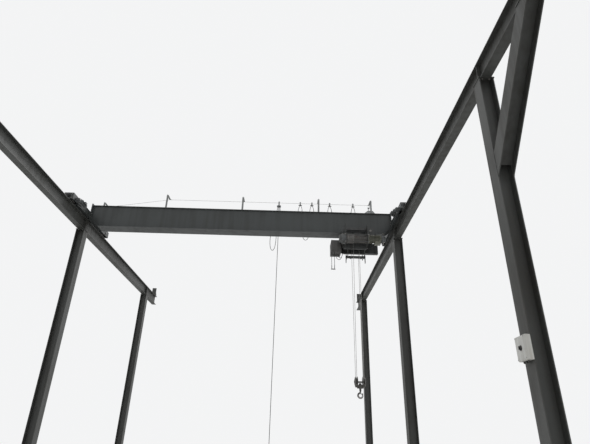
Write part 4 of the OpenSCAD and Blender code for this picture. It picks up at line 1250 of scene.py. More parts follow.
def buildPendant(look):
    x, y, top = look["x"], festoonY, look["top"]
    curve = bpy.data.curves.new("pendant_cord", "CURVE")
    curve.dimensions = "3D"
    curve.bevel_depth = look["cable"] / 2
    curve.bevel_resolution = 4
    spline = curve.splines.new("POLY")
    length = look["exit"] - look["cableEnd"]
    heights = [look["exit"] - length * k / 26 for k in range(27)]
    spline.points.add(len(heights) - 1)
    for point, z in zip(spline.points, heights):
        point.co = (x, y, z, 1)
    cord = bpy.data.objects.new("pendant_cord", curve)
    bpy.context.collection.objects.link(cord)
    cord.data.materials.append(finishes["cable_sheath"])
    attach(cord, "bridge")
    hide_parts("pendant_cable")

    shell = Kit("pendant_case", "pendant_yellow", "bridge")
    low, high = top - 0.320, top - 0.040
    w, f = look["halfX"], look["front"]
    shell.box((x - w, y - f + 0.002, low), (x + w, y + f, high), 0.007, 3)
    shell.box((x - w + 0.004, y - f, low + 0.006), (x + w - 0.004, y - f + 0.006, high - 0.006), 0.002)
    neck = [(0, -0.002), (0.030, -0.002), (0.030, 0.004), (0.024, 0.008), (0.0205, 0.012)]
    shell.lathe(neck + [(0.0205, 0.014), (0, 0.014)], (x, y, high), (0, 0, 1), 28)
    shell.done("pendant_station")
    boot = Kit("pendant_boot", "button_black", "bridge", "cable_sheath")
    profile = [(0.0071, 0.010), (0.019, 0.010)]
    for k in range(5):
        base = 0.012 + k * 0.0055
        size = 0.0185 - k * 0.0019
        profile += [(size, base), (size, base + 0.003), (size - 0.0022, base + 0.0038),
                    (size - 0.0022, base + 0.005)]
    boot.lathe(profile + [(0.0085, 0.0398), (0.0071, 0.0400)], (x, y, high), (0, 0, 1), 24, True)
    for i in range(6):
        z = top - look["firstButton"] - i * look["buttonPitch"]
        boot.lathe([(0.0118, -0.0005), (0.0155, -0.0005), (0.0155, 0.0015), (0.0140, 0.0030),
                    (0.0118, 0.0030)],
                   (x, y - f, z), (0, -1, 0), 28, True)
    boot.done()
    for label, finishName, chosen in (("black", "button_black", (0, 2, 4)),
                                      ("white", "button_white", (1, 3, 5))):
        caps = Kit(f"pendant_buttons_{label}", finishName, "bridge", "pendant_yellow")
        for i in chosen:
            z = top - look["firstButton"] - i * look["buttonPitch"]
            size, tall = 0.0112, 0.0068
            caps.lathe([(0, 0), (size - 0.002, 0), (size, tall - 0.003), (size - 0.0014, tall - 0.0006),
                        (size - 0.004, tall), (0, tall - 0.0012)], (x, y - f, z), (0, -1, 0), 28)
        caps.done()
    arrows = Kit("pendant_arrows", "button_white", "bridge", "pendant_yellow")
    signs = Kit("pendant_signs", "button_black", "bridge", "pendant_yellow")
    # Up and down for the hoist, then both ways for the trolley and for the bridge
    for i, angle in enumerate((90, -90, 0, 180, 45, -135)):
        z = top - look["firstButton"] - i * look["buttonPitch"]
        kit = signs if i % 2 else arrows
        a = math.radians(angle)
        shape = [(0.0058, 0), (0.0006, 0.0046), (0.0006, 0.0015), (-0.0050, 0.0015),
                 (-0.0050, -0.0015), (0.0006, -0.0015), (0.0006, -0.0046)]
        turned = [(u * math.cos(a) - v * math.sin(a), u * math.sin(a) + v * math.cos(a)) for u, v in shape]
        kit.at((x, y - f - 0.0064, z), (90, 0, 0)).plate(turned, 0.0009)
    arrows.done()
    signs.done()
    screws = [((x + s * 0.030, y - f, zz), (0, -1, 0)) for s in (-1, 1) for zz in (low + 0.016, high - 0.016)]
    bolts("pendant_screws", "m5 screw", screws, "bridge")
    hanger = Kit("pendant_eye", "galvanised", "bridge")
    hanger.box((x - 0.010, y + f - 0.006, high - 0.032), (x + 0.010, y + f - 0.0005, high - 0.010), 0.002)
    hanger.done()


buildPendant(pendantLook)
print("pendant built")

# Trolley: plate bolts, axle nuts, welds
trolleyLook = {
    "plateIn": 0.215, "plateOut": 0.230, "axleX": 0.33, "axleZ": 6.7953, "axleEnd": 0.240,
    "crossX": 0.38, "crossHalf": 0.04, "crossLow": 6.60, "crossHigh": 6.68,
}


def atTrolley(x, y, z):
    return (trolleyX + x, bridgeY + y, z)


def dressTrolley(look):
    nuts, heads, beads = [], [], []
    caps = Kit("axle_caps", "fastener", "trolley", "wheel_steel")
    for s in (-1, 1):
        face = s * look["plateOut"]
        for sx in (-1, 1):
            # The trolley's drive stands over one axle end
            if s < 0 or sx < 0:
                caps.lathe([(0.015, 0), (0.027, 0), (0.027, 0.007), (0.024, 0.009), (0.015, 0.009)],
                           atTrolley(sx * look["axleX"], face, look["axleZ"]), (0, s, 0), 24, True)
                nuts.append((atTrolley(sx * look["axleX"], s * (look["axleEnd"] - 0.001), look["axleZ"]),
                             (0, s, 0)))
            for ox in (-0.022, 0.022):
                for oz in (0.018, 0.062):
                    heads.append((atTrolley(sx * look["crossX"] + ox, face, look["crossLow"] + oz),
                                  (0, s, 0)))
            for ox in (-1, 1):
                x = sx * look["crossX"] + ox * look["crossHalf"]
                y = s * look["plateIn"]
                beads.append([atTrolley(x, y, look["crossLow"]), atTrolley(x, y, look["crossHigh"])])
            x0, x1 = sx * look["crossX"] - look["crossHalf"], sx * look["crossX"] + look["crossHalf"]
            beads.append([atTrolley(x0, s * look["plateIn"], look["crossLow"]),
                          atTrolley(x1, s * look["plateIn"], look["crossLow"])])
    caps.done()
    bolts("trolley_axle_nuts", "m16 nut", nuts, "trolley")
    bolts("trolley_cross_bolts", "m12 head", heads, "trolley")
    welds("trolley_welds", beads, 0.004, "trolley", "trolley_steel")


dressTrolley(trolleyLook)

trolleyDriveLook = {
    "x": 0.33, "y": 0.230, "depth": 0.084, "firstR": 0.058, "secondR": 0.050, "offset": (-0.072, 0.018),
    "motorX": 0.218, "motorY": 0.290, "motorR": 0.048, "motorLength": 0.240, "fins": 24,
}


def buildTrolleyDrive(look):
    z = trolleyLook["axleZ"]
    case = Kit("trolley_gearbox", "drive_paint", "trolley")
    for start, end, inset in ((0, 0.012, 0), (0.011, 0.038, 0.006), (0.037, 0.048, 0.0005),
                              (0.047, 0.079, 0.006), (0.078, 0.084, 0.010)):
        outline = caseOutline(look["firstR"], look["secondR"], look["offset"], inset)
        case.at(atTrolley(look["x"], look["y"] + (start + end) / 2, z), (90, 0, 0))
        case.plate(outline, end - start, 0.0012)
    case.at()
    case.lathe([(0, 0), (0.030, 0), (0.028, 0.003), (0.012, 0.004), (0, 0.004)],
               atTrolley(look["x"], look["y"] + look["depth"] - 0.001, z), (0, 1, 0), 28)
    start = atTrolley(look["motorX"], look["motorY"], z + look["offset"][1])
    case.rod((start[0] + 0.030, start[1], start[2]), (start[0] - 0.002, start[1], start[2]), 0.022, 24)
    addMotor(case, start, (-1, 0, 0), look["motorR"], look["motorLength"])
    case.done("trolley_drive")
    fins("trolley_fins", look["fins"], look["motorR"] - 0.009, 0.009, look["motorLength"] - 0.066,
         (start[0] - 0.105, start[1], start[2]), (1, 0, 0), "trolley", "drive_paint")
    ring = ringSpots(atTrolley(look["x"], look["y"] + 0.048, z), 0.0535, range(-60, 61, 30), (0, 1, 0))
    bolts("trolley_gearbox_screws", "m5 screw", ring, "trolley")
    # The black discs for the cowl's vent holes are painted shade
    grille = Kit("trolley_grille", "button_black", "trolley", "drive_paint")
    motorVentShade(grille, start, (-1, 0, 0), look["motorR"], look["motorLength"])
    grille.done()


buildTrolleyDrive(trolleyDriveLook)

weightLook = {"rods": (-0.280, 0.540), "y": 0.305, "low": 6.325, "high": 6.621, "face": 0.360,
              "hangers": (-0.25, 0.25)}


def dressCounterweight(look):
    nuts = [(atTrolley(x, look["y"], z), (0, 0, way)) for x in look["rods"]
            for z, way in ((look["low"], -1), (look["high"], 1))]
    heads = [(atTrolley(x + o, look["face"], look["high"] - 0.028), (0, 1, 0)) for x in look["hangers"]
             for o in (-0.024, 0.024)]
    bolts("weight_nuts", "m24 low nut", nuts, "trolley")
    bolts("weight_bolts", "m12 head", heads, "trolley")
    beads = [[atTrolley(x + o, 0.231, 6.622), atTrolley(x + o, 0.231, 6.698)] for x in look["hangers"]
             for o in (-0.0405, 0.0405)]
    welds("weight_welds", beads, 0.003, "trolley", "trolley_steel")


dressCounterweight(weightLook)

hoistLook = {
    "drumY": -0.39, "drumZ": 6.475, "plateLeft": (-0.375, -0.360), "plateRight": (0.200, 0.215),
    "rodY": -0.528, "rodZ": (6.345, 6.550),
}


def dressHoistFrame(look):
    nuts = []
    for z in look["rodZ"]:
        for end, way in ((look["plateLeft"][0], -1), (look["plateRight"][1], 1)):
            nuts.append((atTrolley(end, look["rodY"], z), (way, 0, 0)))
    bolts("tie_rod_nuts", "m16 nut", nuts, "trolley")
    beads = []
    for x in (*look["plateLeft"], *look["plateRight"]):
        for edge in (-0.330, -0.290):
            beads.append([atTrolley(x, edge, 6.760), atTrolley(x, edge, 6.820)])
        beads.append([atTrolley(x, -0.2305, 6.545), atTrolley(x, -0.2305, 6.825)])
    welds("hoist_frame_welds", beads, 0.004, "trolley", "trolley_steel")


dressHoistFrame(hoistLook)

gearboxLook = {"face": -0.375, "radius": 0.140, "cap": 0.105, "side": 0.080, "length": 0.159, "ribs": 10}


def buildGearbox(look):
    y, z = hoistLook["drumY"], hoistLook["drumZ"]
    aim = (-1, 0, 0)
    case = Kit("gearbox_case", "drive_paint", "trolley")
    r = look["radius"]
    case.lathe([(0.027, 0), (r, 0), (r, 0.014), (r - 0.008, 0.018), (r - 0.012, 0.060), (r - 0.010, 0.064),
                (r - 0.001, 0.068), (r - 0.001, 0.084), (r - 0.010, 0.088), (r - 0.018, 0.112),
                (r - 0.026, 0.120),
                (look["cap"], 0.121), (look["cap"], 0.150), (look["cap"] - 0.008, look["length"]),
                (0.030, look["length"]), (0.028, look["length"] - 0.004), (0.027, look["length"] - 0.004)],
               atTrolley(look["face"], y, z), aim, 64, True)
    case.lathe([(0, 0.02), (0.028, 0.02), (0.028, look["length"] - 0.004), (0, look["length"] - 0.004)],
               atTrolley(look["face"], y, z), aim, 32)
    s = look["side"]
    case.lathe([(0, 0.0005), (s, 0.0005), (s, 0.0135), (s - 0.004, 0.0175), (s - 0.006, 0.0665),
                (s - 0.0005, 0.0705),
                (s - 0.0005, 0.0835), (s - 0.006, 0.0875), (s - 0.010, 0.1075), (s - 0.020, 0.1185),
                (0, 0.1185)],
               atTrolley(look["face"], y + 0.060, z + 0.060), aim, 48)
    for k in range(look["ribs"]):
        a = 2 * math.pi * (k + 0.5) / look["ribs"]
        case.at(atTrolley(look["face"] - 0.1205, y, z), (math.degrees(a), 0, 0))
        case.box((-0.034, -0.004, 0.040), (0.004, 0.004, look["cap"] + 0.006), 0.0015)
    case.at()
    case.box(atTrolley(look["face"] - 0.080, y - 0.050, z - 0.139),
             atTrolley(look["face"] - 0.004, y + 0.050, z - 0.118), 0.004)
    case.done("hoist_gearbox")
    # The bulge over the second shaft takes the first quarter of the ring
    shift = math.degrees(0.1)
    ring = ringSpots(atTrolley(look["face"] - 0.084, y, z), 0.1325, [shift + 30 * k for k in range(3, 12)],
                     aim)
    cap = ringSpots(atTrolley(look["face"] - look["length"], y, z), 0.085, range(0, 360, 45), aim)
    bolts("gearbox_bolts", "m8 head", ring + cap, "trolley")
    glass = Kit("gearbox_fittings", "fastener", "trolley", "wheel_steel")
    for up in (-0.055, 0.055):
        glass.lathe([(0, 0), (0.034, 0), (0.034, 0.004), (0.030, 0.007), (0.012, 0.008), (0, 0.008)],
                    atTrolley(look["face"] - look["length"] + 0.001, y - 0.012, z + up), aim, 28)
    glass.rod(atTrolley(look["face"] - 0.118, y - 0.060, z - 0.080),
              atTrolley(look["face"] - 0.126, y - 0.060, z - 0.080), 0.014, 20, 0.002)
    glass.rod(atTrolley(look["face"] - 0.05, y, z - 0.138), atTrolley(look["face"] - 0.05, y, z - 0.1395),
              0.010, 6)
    glass.rod(atTrolley(look["face"] - 0.05, y + 0.060, z + 0.136),
              atTrolley(look["face"] - 0.05, y + 0.060, z + 0.1395), 0.010, 6)
    glass.done()


buildGearbox(gearboxLook)

motorLook = {"start": 0.215, "core": 0.092, "finTop": 0.108, "finStart": 0.258, "finEnd": 0.540, "fins": 44}


def buildHoistMotor(look):
    y, z = hoistLook["drumY"], hoistLook["drumZ"]
    aim = (1, 0, 0)
    case = Kit("motor_case", "motor_paint", "trolley", "drive_paint")
    case.lathe([(0.027, 0), (0.115, 0), (0.115, 0.014), (0.111, 0.018), (0.111, 0.028), (0.115, 0.032),
                (0.115, 0.038),
                (0.108, 0.042), (0.096, 0.046), (look["core"], 0.050), (look["core"], 0.320), (0.109, 0.324),
                (0.110, 0.328), (0.110, 0.342), (0.104, 0.348), (0.030, 0.350), (0.027, 0.350)],
               atTrolley(look["start"], y, z), aim, 64, True)
    case.lathe([(0, 0.016), (0.028, 0.016), (0.028, 0.349), (0, 0.349)], atTrolley(look["start"], y, z), aim,
               32)
    for k in range(4):
        a = math.radians(45 + 90 * k)
        case.at(atTrolley(look["start"] + 0.045, y, z), (math.degrees(a), 0, 0))
        case.box((0, -0.007, 0.085), (0.290, 0.007, 0.112), 0.002)
    case.at()
    case.box(atTrolley(0.395, y - 0.070, z - 0.143), atTrolley(0.545, y + 0.070, z - 0.080), 0.006)
    case.box(atTrolley(0.392, y - 0.073, z - 0.150), atTrolley(0.548, y + 0.073, z - 0.140), 0.003)
    case.done("hoist_motor")
    fins("motor_fins", look["fins"], look["core"], look["finTop"] - look["core"] + 0.001,
         look["finEnd"] - look["finStart"] - 0.01,
         atTrolley((look["finStart"] + look["finEnd"]) / 2 - 0.004, y, z), (1, 0, 0), "trolley",
         "motor_paint")
    ring = ringSpots(atTrolley(look["start"] + 0.038, y, z), 0.104, [22.5 + 45 * k for k in range(8)], aim)
    lid = [(atTrolley(0.470 + sx * 0.066, y + sy * 0.062, z - 0.150), (0, 0, -1)) for sx in (-1, 1)
           for sy in (-1, 1)]
    bolts("motor_bolts", "m8 head", ring, "trolley")
    bolts("motor_box_screws", "m5 screw", lid, "trolley")
    glands = Kit("motor_glands", "button_black", "trolley", "cable_sheath")
    for gx in (0.430, 0.475, 0.515):
        glands.lathe(glandShape(0.013, 0.011, 0.007, 0.009, 0.022, 0.030),
                     atTrolley(gx, y + 0.070, z - 0.112), (0, 1, 0), 14)
    lead = [atTrolley(0.475, y + 0.095, z - 0.112), atTrolley(0.475, y + 0.125, z - 0.113),
            atTrolley(0.462, y + 0.148, z - 0.085),
            atTrolley(0.440, y + 0.158, z - 0.03), atTrolley(0.425, y + 0.160, z + 0.04),
            atTrolley(0.41, y + 0.1595, z + 0.11)]
    glands.tube(smoothLine(lead, 5), 0.0055, 8)
    glands.done()


buildHoistMotor(motorLook)

brakeLook = {"start": 0.565, "disc": 0.100, "cover": 0.084, "armY": 0.070}


def buildBrake(look):
    y, z = hoistLook["drumY"], hoistLook["drumZ"]
    brake = Kit("brake_body", "drive_paint", "trolley")
    brake.lathe([(0, 0), (0.094, 0), (0.098, 0.003), (look["disc"], 0.006), (look["disc"], 0.020),
                 (0.094, 0.024), (0.094, 0.030),
                 (look["disc"], 0.034), (look["disc"], 0.050), (0.096, 0.055), (0.085, 0.056),
                 (look["cover"], 0.060),
                 (look["cover"], 0.108), (0.076, 0.120), (0.050, 0.124), (0, 0.125)],
                atTrolley(look["start"], y, z), (1, 0, 0), 56)
    for s in (-1, 1):
        outline = [(-0.012, -0.120), (0.012, -0.120), (0.012, 0.120), (0.009, 0.142), (0.004, 0.150),
                   (-0.004, 0.150),
                   (-0.009, 0.142), (-0.012, 0.120)]
        for x in (0.5985, 0.6565):
            brake.at(atTrolley(x, y + s * look["armY"], z), (90, 90, 0))
            brake.plate(outline, 0.007, 0.001)
        brake.at()
        brake.box(atTrolley(0.600, y + s * look["armY"] - 0.0105, z - 0.085),
                  atTrolley(0.655, y + s * look["armY"] + 0.0105, z + 0.085), 0.004)
    brake.box(atTrolley(0.606, y - 0.070, z - 0.0095), atTrolley(0.6995, y + 0.070, z + 0.0095), 0.003)
    brake.done("hoist_brake")
    rods = Kit("brake_rods", "fastener", "trolley", "wheel_steel")
    for zz in (0.136, -0.106):
        rods.rod(atTrolley(0.6275, y - 0.0815, z + zz), atTrolley(0.6275, y + 0.0815, z + zz), 0.006, 14,
                 0.001)
        for s in (-1, 1):
            rods.rod(atTrolley(0.594, y + s * 0.070, z + zz), atTrolley(0.661, y + s * 0.070, z + zz), 0.0055,
                     12, 0.001)
    coil = []
    for k in range(120):
        a = 2 * math.pi * k / 12
        coil.append(atTrolley(0.6275 + 0.0105 * math.cos(a), y - 0.045 + 0.09 * k / 119,
                              z + 0.136 + 0.0105 * math.sin(a)))
    rods.tube(coil, 0.0022, 6)
    rods.done("hoist_brake")
    ends = [(atTrolley(0.6275, y + s * 0.079, z + zz), (0, s, 0)) for s in (-1, 1) for zz in (0.136, -0.106)]
    bolts("brake_nuts", "m8 head", ends, "trolley")


buildBrake(brakeLook)
print("hoist built")

cabinetLook = {"x0": -0.730, "x1": -0.460, "y0": -0.200, "y1": 0.200, "z0": 6.180, "z1": 6.510,
               "door": -0.208}


def buildCabinet(look):
    x0, x1, y0, y1, z0, z1 = (look[k] for k in ("x0", "x1", "y0", "y1", "z0", "z1"))
    case = Kit("cabinet_case", "cabinet_paint", "trolley")
    case.box(atTrolley(x0, y0, z0), atTrolley(x1, y1, z1), 0.005)
    case.box(atTrolley(x0 + 0.006, look["door"] + 0.001, z0 + 0.006),
             atTrolley(x1 - 0.006, y0 + 0.001, z1 - 0.006), 0.003)
    case.box(atTrolley(x0 + 0.028, look["door"], z0 + 0.028),
             atTrolley(x1 - 0.028, look["door"] + 0.004, z1 - 0.028), 0.002)
    for y in (-0.150, 0.150):
        for a, b in (((-0.480, y - 0.015, z1 - 0.07), (-0.462, y + 0.015, 6.600)),
                     ((-0.4795, y - 0.0145, 6.582), (-0.380, y + 0.0145, 6.5995))):
            case.box(atTrolley(*a), atTrolley(*b), 0.002)
    for z in (z0 + 0.06, z1 - 0.06):
        case.rod(atTrolley(x0 + 0.004, look["door"] + 0.005, z - 0.022),
                 atTrolley(x0 + 0.004, look["door"] + 0.005, z + 0.022), 0.006, 14, 0.001)
    for k in range(7):
        z = z1 - 0.075 - k * 0.016
        for x, way in ((x0, 1), (x1, -1)):
            case.at(atTrolley(x, 0.0, z), (0, 20 * way, 0)).box((-0.0015, -0.070, -0.006),
                                                                (0.0015, 0.070, 0.005))
    case.at()
    case.done("control_cabinet")
    trim = Kit("cabinet_trim", "button_black", "trolley", "cabinet_paint")
    for z in (z0 + 0.08, z1 - 0.08):
        trim.lathe([(0, 0), (0.013, 0), (0.013, 0.003), (0.010, 0.006), (0, 0.006)],
                   atTrolley(x1 - 0.020, look["door"] + 0.0035, z), (0, -1, 0), 20)
        trim.box(atTrolley(x1 - 0.022, look["door"] - 0.0055, z - 0.009),
                 atTrolley(x1 - 0.018, look["door"] - 0.0015, z + 0.009), 0.001)
    for gx in (-0.69, -0.645, -0.60, -0.555, -0.51):
        for gy in (-0.05, 0.03):
            trim.lathe(glandShape(0.012, 0.010, 0.006, 0.008, 0.020, 0.027),
                       atTrolley(gx, gy + 0.09, z0), (0, 0, -1), 12)
    trim.done()
    hoses = Kit("cabinet_leads", "cable_sheath", "trolley")
    routes = [
        [(-0.51, 0.04, z0 - 0.02), (-0.51, 0.04, z0 - 0.06), (-0.47, 0.045, z0 - 0.085),
         (-0.43, 0.06, z0 - 0.05),
         (-0.40, 0.08, z0 + 0.05), (-0.385, 0.10, z0 + 0.2), (-0.375, 0.13, z0 + 0.34),
         (-0.36, 0.16, z0 + 0.41)],
        [(-0.555, 0.12, z0 - 0.02), (-0.555, 0.12, z0 - 0.07), (-0.50, 0.125, z0 - 0.11),
         (-0.44, 0.13, z0 - 0.07),
         (-0.405, 0.14, z0 + 0.04), (-0.39, 0.145, z0 + 0.2), (-0.38, 0.150, z0 + 0.33),
         (-0.365, 0.155, z0 + 0.41)]]
    for route in routes:
        hoses.tube(smoothLine([atTrolley(*p) for p in route], 5), 0.006, 8)
    hoses.done()
    bolts("cabinet_bolts", "m8 head", [(atTrolley(-0.460, y + o, z1 - 0.04), (1, 0, 0))
                                       for y in (-0.150, 0.150) for o in (-0.008, 0.008)], "trolley")


buildCabinet(cabinetLook)

reeveLook = {
    "sheaveX": -0.060, "sheaveY": 0.105, "sheaveZ": 6.470, "pitch": 0.090, "ropeX": (-0.150, 0.030),
    "rope": 0.005,
    "bracketX": (-0.380, 0.190), "barX": (-0.345, 0.215), "blockR": 0.105, "drumR": 0.1232,
    "drumStart": -0.325, "drumPitch": 0.0125,
    "blendLength": 3.95, "stub": 0.06, "leadR": 0.1275, "leadIn": 0.0043,
}


def dressReeving(look):
    heads = []
    for s in (-1, 1):
        for x in look["bracketX"]:
            for o in (-0.022, 0.022):
                heads.append((atTrolley(x + o, s * 0.170, 6.5695), (0, -s, 0)))
        for x in look["barX"]:
            for o in (-0.030, 0.030):
                heads.append((atTrolley(x, s * 0.200, 6.440 + o), (0, s, 0)))
        heads += [(atTrolley(look["sheaveX"] + o, s * 0.208, look["sheaveZ"] + 0.030), (0, s, 0))
                  for o in (-0.030, 0.030)]
    bolts("reeving_bolts", "m12 head", heads, "trolley")
    keeper = Kit("sheave_keepers", "galvanised", "trolley", "trolley_steel")
    for s in (-1, 1):
        keeper.box(atTrolley(look["sheaveX"] - 0.048, min(s * 0.200, s * 0.208), look["sheaveZ"] + 0.014),
                   atTrolley(look["sheaveX"] + 0.048, max(s * 0.200, s * 0.208), look["sheaveZ"] + 0.046),
                   0.002)
    keeper.done()
    # Wedge socket that ends the rope under its bracket
    socket = Kit("rope_socket", "galvanised", "trolley", "trolley_steel")
    x, y, z = atTrolley(look["ropeX"][1], -look["blockR"], look["sheaveZ"])
    socket.lathe([(0, 0), (0.009, 0), (0.015, 0.012), (0.018, 0.050), (0.018, 0.062), (0.012, 0.068),
                  (0, 0.068)], (x, y, z - 0.075), (0, 0, 1), 20)
    socket.box((x - 0.020, y - 0.016, z - 0.030), (x + 0.020, y + 0.016, z + 0.001), 0.004)
    socket.rod((x - 0.026, y, z - 0.014), (x + 0.026, y, z - 0.014), 0.007, 14, 0.0015)
    socket.done()
    beads = []
    for s in (-1, 1):
        edge = look["ropeX"][1] + s * 0.0255
        beads.append([atTrolley(edge, -0.1695, 6.4705), atTrolley(edge, -0.1695, 6.5095)])
        for low, high in ((-0.389, -0.361), (-0.329, 0.199)):
            beads.append([atTrolley(low, s * 0.1695, 6.281), atTrolley(high, s * 0.1695, 6.281)])
    welds("reeving_welds", beads, 0.004, "trolley", "trolley_steel")


dressReeving(reeveLook)

guardLook = {"z": 6.080, "arms": (-0.290, 0.150), "armY": 0.185, "ends": (-0.326, 0.196)}


def dressGuard(look):
    heads = [(atTrolley(x + s * 0.006, y, look["z"] + 0.150), (s, 0, 0)) for x in look["arms"]
             for y in (-look["armY"], look["armY"]) for s in (-1, 1)]
    for x, way in zip(look["ends"], (-1, 1)):
        heads += [(atTrolley(x, y, look["z"] + 0.0275), (way, 0, 0)) for y in (-0.018, 0.018)]
    bolts("guard_bolts", "m8 head", heads, "trolley")
    pads = Kit("guard_pads", "buffer_rubber", "trolley")
    for x in (-0.200, 0.080):
        pads.lathe([(0, 0), (0.024, 0), (0.024, 0.006), (0.018, 0.018), (0.014, 0.020), (0, 0.020)],
                   atTrolley(x, 0, look["z"]), (0, 0, -1), 24)
    pads.done()


dressGuard(guardLook)

limitLook = {"x": (-0.715, -0.640), "y": -0.120, "low": 5.720, "high": 6.180}


def buildLimitRods(look):
    rods = Kit("limit_rods_turned", "trolley_steel", "trolley")
    for x in look["x"]:
        rods.rod(atTrolley(x, look["y"], look["low"]), atTrolley(x, look["y"], look["high"]), 0.006, 16)
        rods.lathe([(0.006, 0), (0.009, 0), (0.009, 0.030), (0.006, 0.034)],
                   atTrolley(x, look["y"], look["high"] - 0.040), (0, 0, 1), 20, True)
        rods.lathe([(0.006, 0), (0.0088, 0), (0.0088, 0.060), (0.006, 0.060)],
                   atTrolley(x, look["y"], look["low"] + 0.025), (0, 0, 1), 20, True)
        for z in (look["high"] - 0.052, look["low"] + 0.095):
            rods.rod(atTrolley(x, look["y"], z), atTrolley(x, look["y"], z + 0.006), 0.009, 6)
    rods.box(atTrolley(-0.735, -0.130, 5.700), atTrolley(-0.620, -0.110, 5.722), 0.004)
    rods.done("limit_rods")


buildLimitRods(limitLook)
print("trolley dressed")

# Ropes: turns on the drum, four falls, and the wraps round the sheaves
def drumRope(look):
    y, z = hoistLook["drumY"], hoistLook["drumZ"]
    turns = int((look["ropeX"][0] - look["drumStart"]) / look["drumPitch"])
    line = []
    steps = 36
    for k in range(turns * steps + 1):
        a = 2 * math.pi * k / steps
        line.append(atTrolley(look["ropeX"][0] - look["drumPitch"] * (0.2 + k / steps),
                              y + look["drumR"] * math.cos(a), z + look["drumR"] * math.sin(a)))
    ropes("drum_rope", [line], look["rope"], "drum", (), 0.010)
    clamps = Kit("rope_clamps", "galvanised", "drum", "drum_steel")
    for k in range(3):
        a = 30 + k * 22
        clamps.at(atTrolley(look["drumStart"] + 0.006, y, z), (a, 0, 0))
        clamps.box((-0.012, -0.010, 0.1225), (0.012, 0.010, 0.1335), 0.002)
    clamps.at()
    clamps.done()
    spots = []
    for k in range(3):
        a = math.radians(30 + k * 22)
        way = (0, -math.sin(a), math.cos(a))
        spots.append((Vector(atTrolley(look["drumStart"] + 0.006, y, z)) + Vector(way) * 0.1335, way))
    bolts("rope_clamp_bolts", "m8 head", spots, "drum")


drumRope(reeveLook)


def fallRopes(look):
    high, low = look["sheaveZ"], blockAxle.z
    r = look["blockR"]
    drumSide = hoistLook["drumY"] + look["leadR"]
    tops = [(look["ropeX"][0], drumSide), (look["ropeX"][0], r), (look["ropeX"][1], r),
            (look["ropeX"][1], -r)]
    feet = [(look["ropeX"][0], -r), (look["ropeX"][0], r), (look["ropeX"][1], r), (look["ropeX"][1], -r)]
    lines = [[Vector(atTrolley(*a, high)), Vector(atTrolley(*b, low))] for a, b in zip(tops, feet)]
    falls = ropes("rope_falls", lines, look["rope"], None, ("hoist_ropes",))
    # Longer than the falls, so that they shorten evenly and never fold when the block is high
    spare = max(0, look["blendLength"] - (high - low)) / 2
    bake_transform(falls, "trolley", "block", start=(trolleyX, bridgeY, high + spare),
             end=(trolleyX, bridgeY, low - spare))
    over = [[atTrolley(look["sheaveX"] + look["pitch"] * math.cos(a), look["sheaveY"],
                       high + look["pitch"] * math.sin(a))
             for a in [math.pi * k / 30 for k in range(31)]]]
    y = hoistLook["drumY"]
    # The rope runs from its first turn on the drum to the head of the fall
    lead = []
    for k in range(7):
        a, reach = math.radians(4 * k), look["leadR"] - look["leadIn"] * k / 6
        lead.append(atTrolley(look["ropeX"][0] - look["drumPitch"] * 0.2 * k / 6, y + reach * math.cos(a),
                              high + look["rope"] * min(k, 1) + reach * math.sin(a)))
    ropes("upper_wrap", over, look["rope"], "trolley")
    stubs = Kit("rope_stubs", "rope_steel", "trolley")
    for start, end in lines:
        stubs.rod(start, start + (end - start).normalized() * look["stub"], look["rope"] - 0.0008, 12)
    stubs.done()
    stubs = Kit("block_rope_stubs", "rope_steel", "block")
    for start, end in lines:
        stubs.rod(end, end + (start - end).normalized() * look["stub"], look["rope"] - 0.0008, 12)
    stubs.done()
    ropes("drum_lead", [lead], look["rope"], "trolley")
    under = []
    for x in look["ropeX"]:
        under.append([atTrolley(x, r * math.cos(a), low - r * math.sin(a))
                      for a in [math.pi * k / 30 for k in range(31)]])
    ropes("block_wraps", under, look["rope"], "block")


fallRopes(reeveLook)
print("ropes reeved")

# Bottom block: dished sheave covers, inner plates, crosshead and the forged hook
blockLook = {
    "sheaveX": 0.090, "coverX": 0.108, "coverR": 0.125, "plateX": 0.067, "headZ": -0.060, "headLow": -0.150,
    "halfHead": 0.063,
}


def atBlock(x, y, z):
    return (blockAxle.x + x, blockAxle.y + y, blockAxle.z + z)


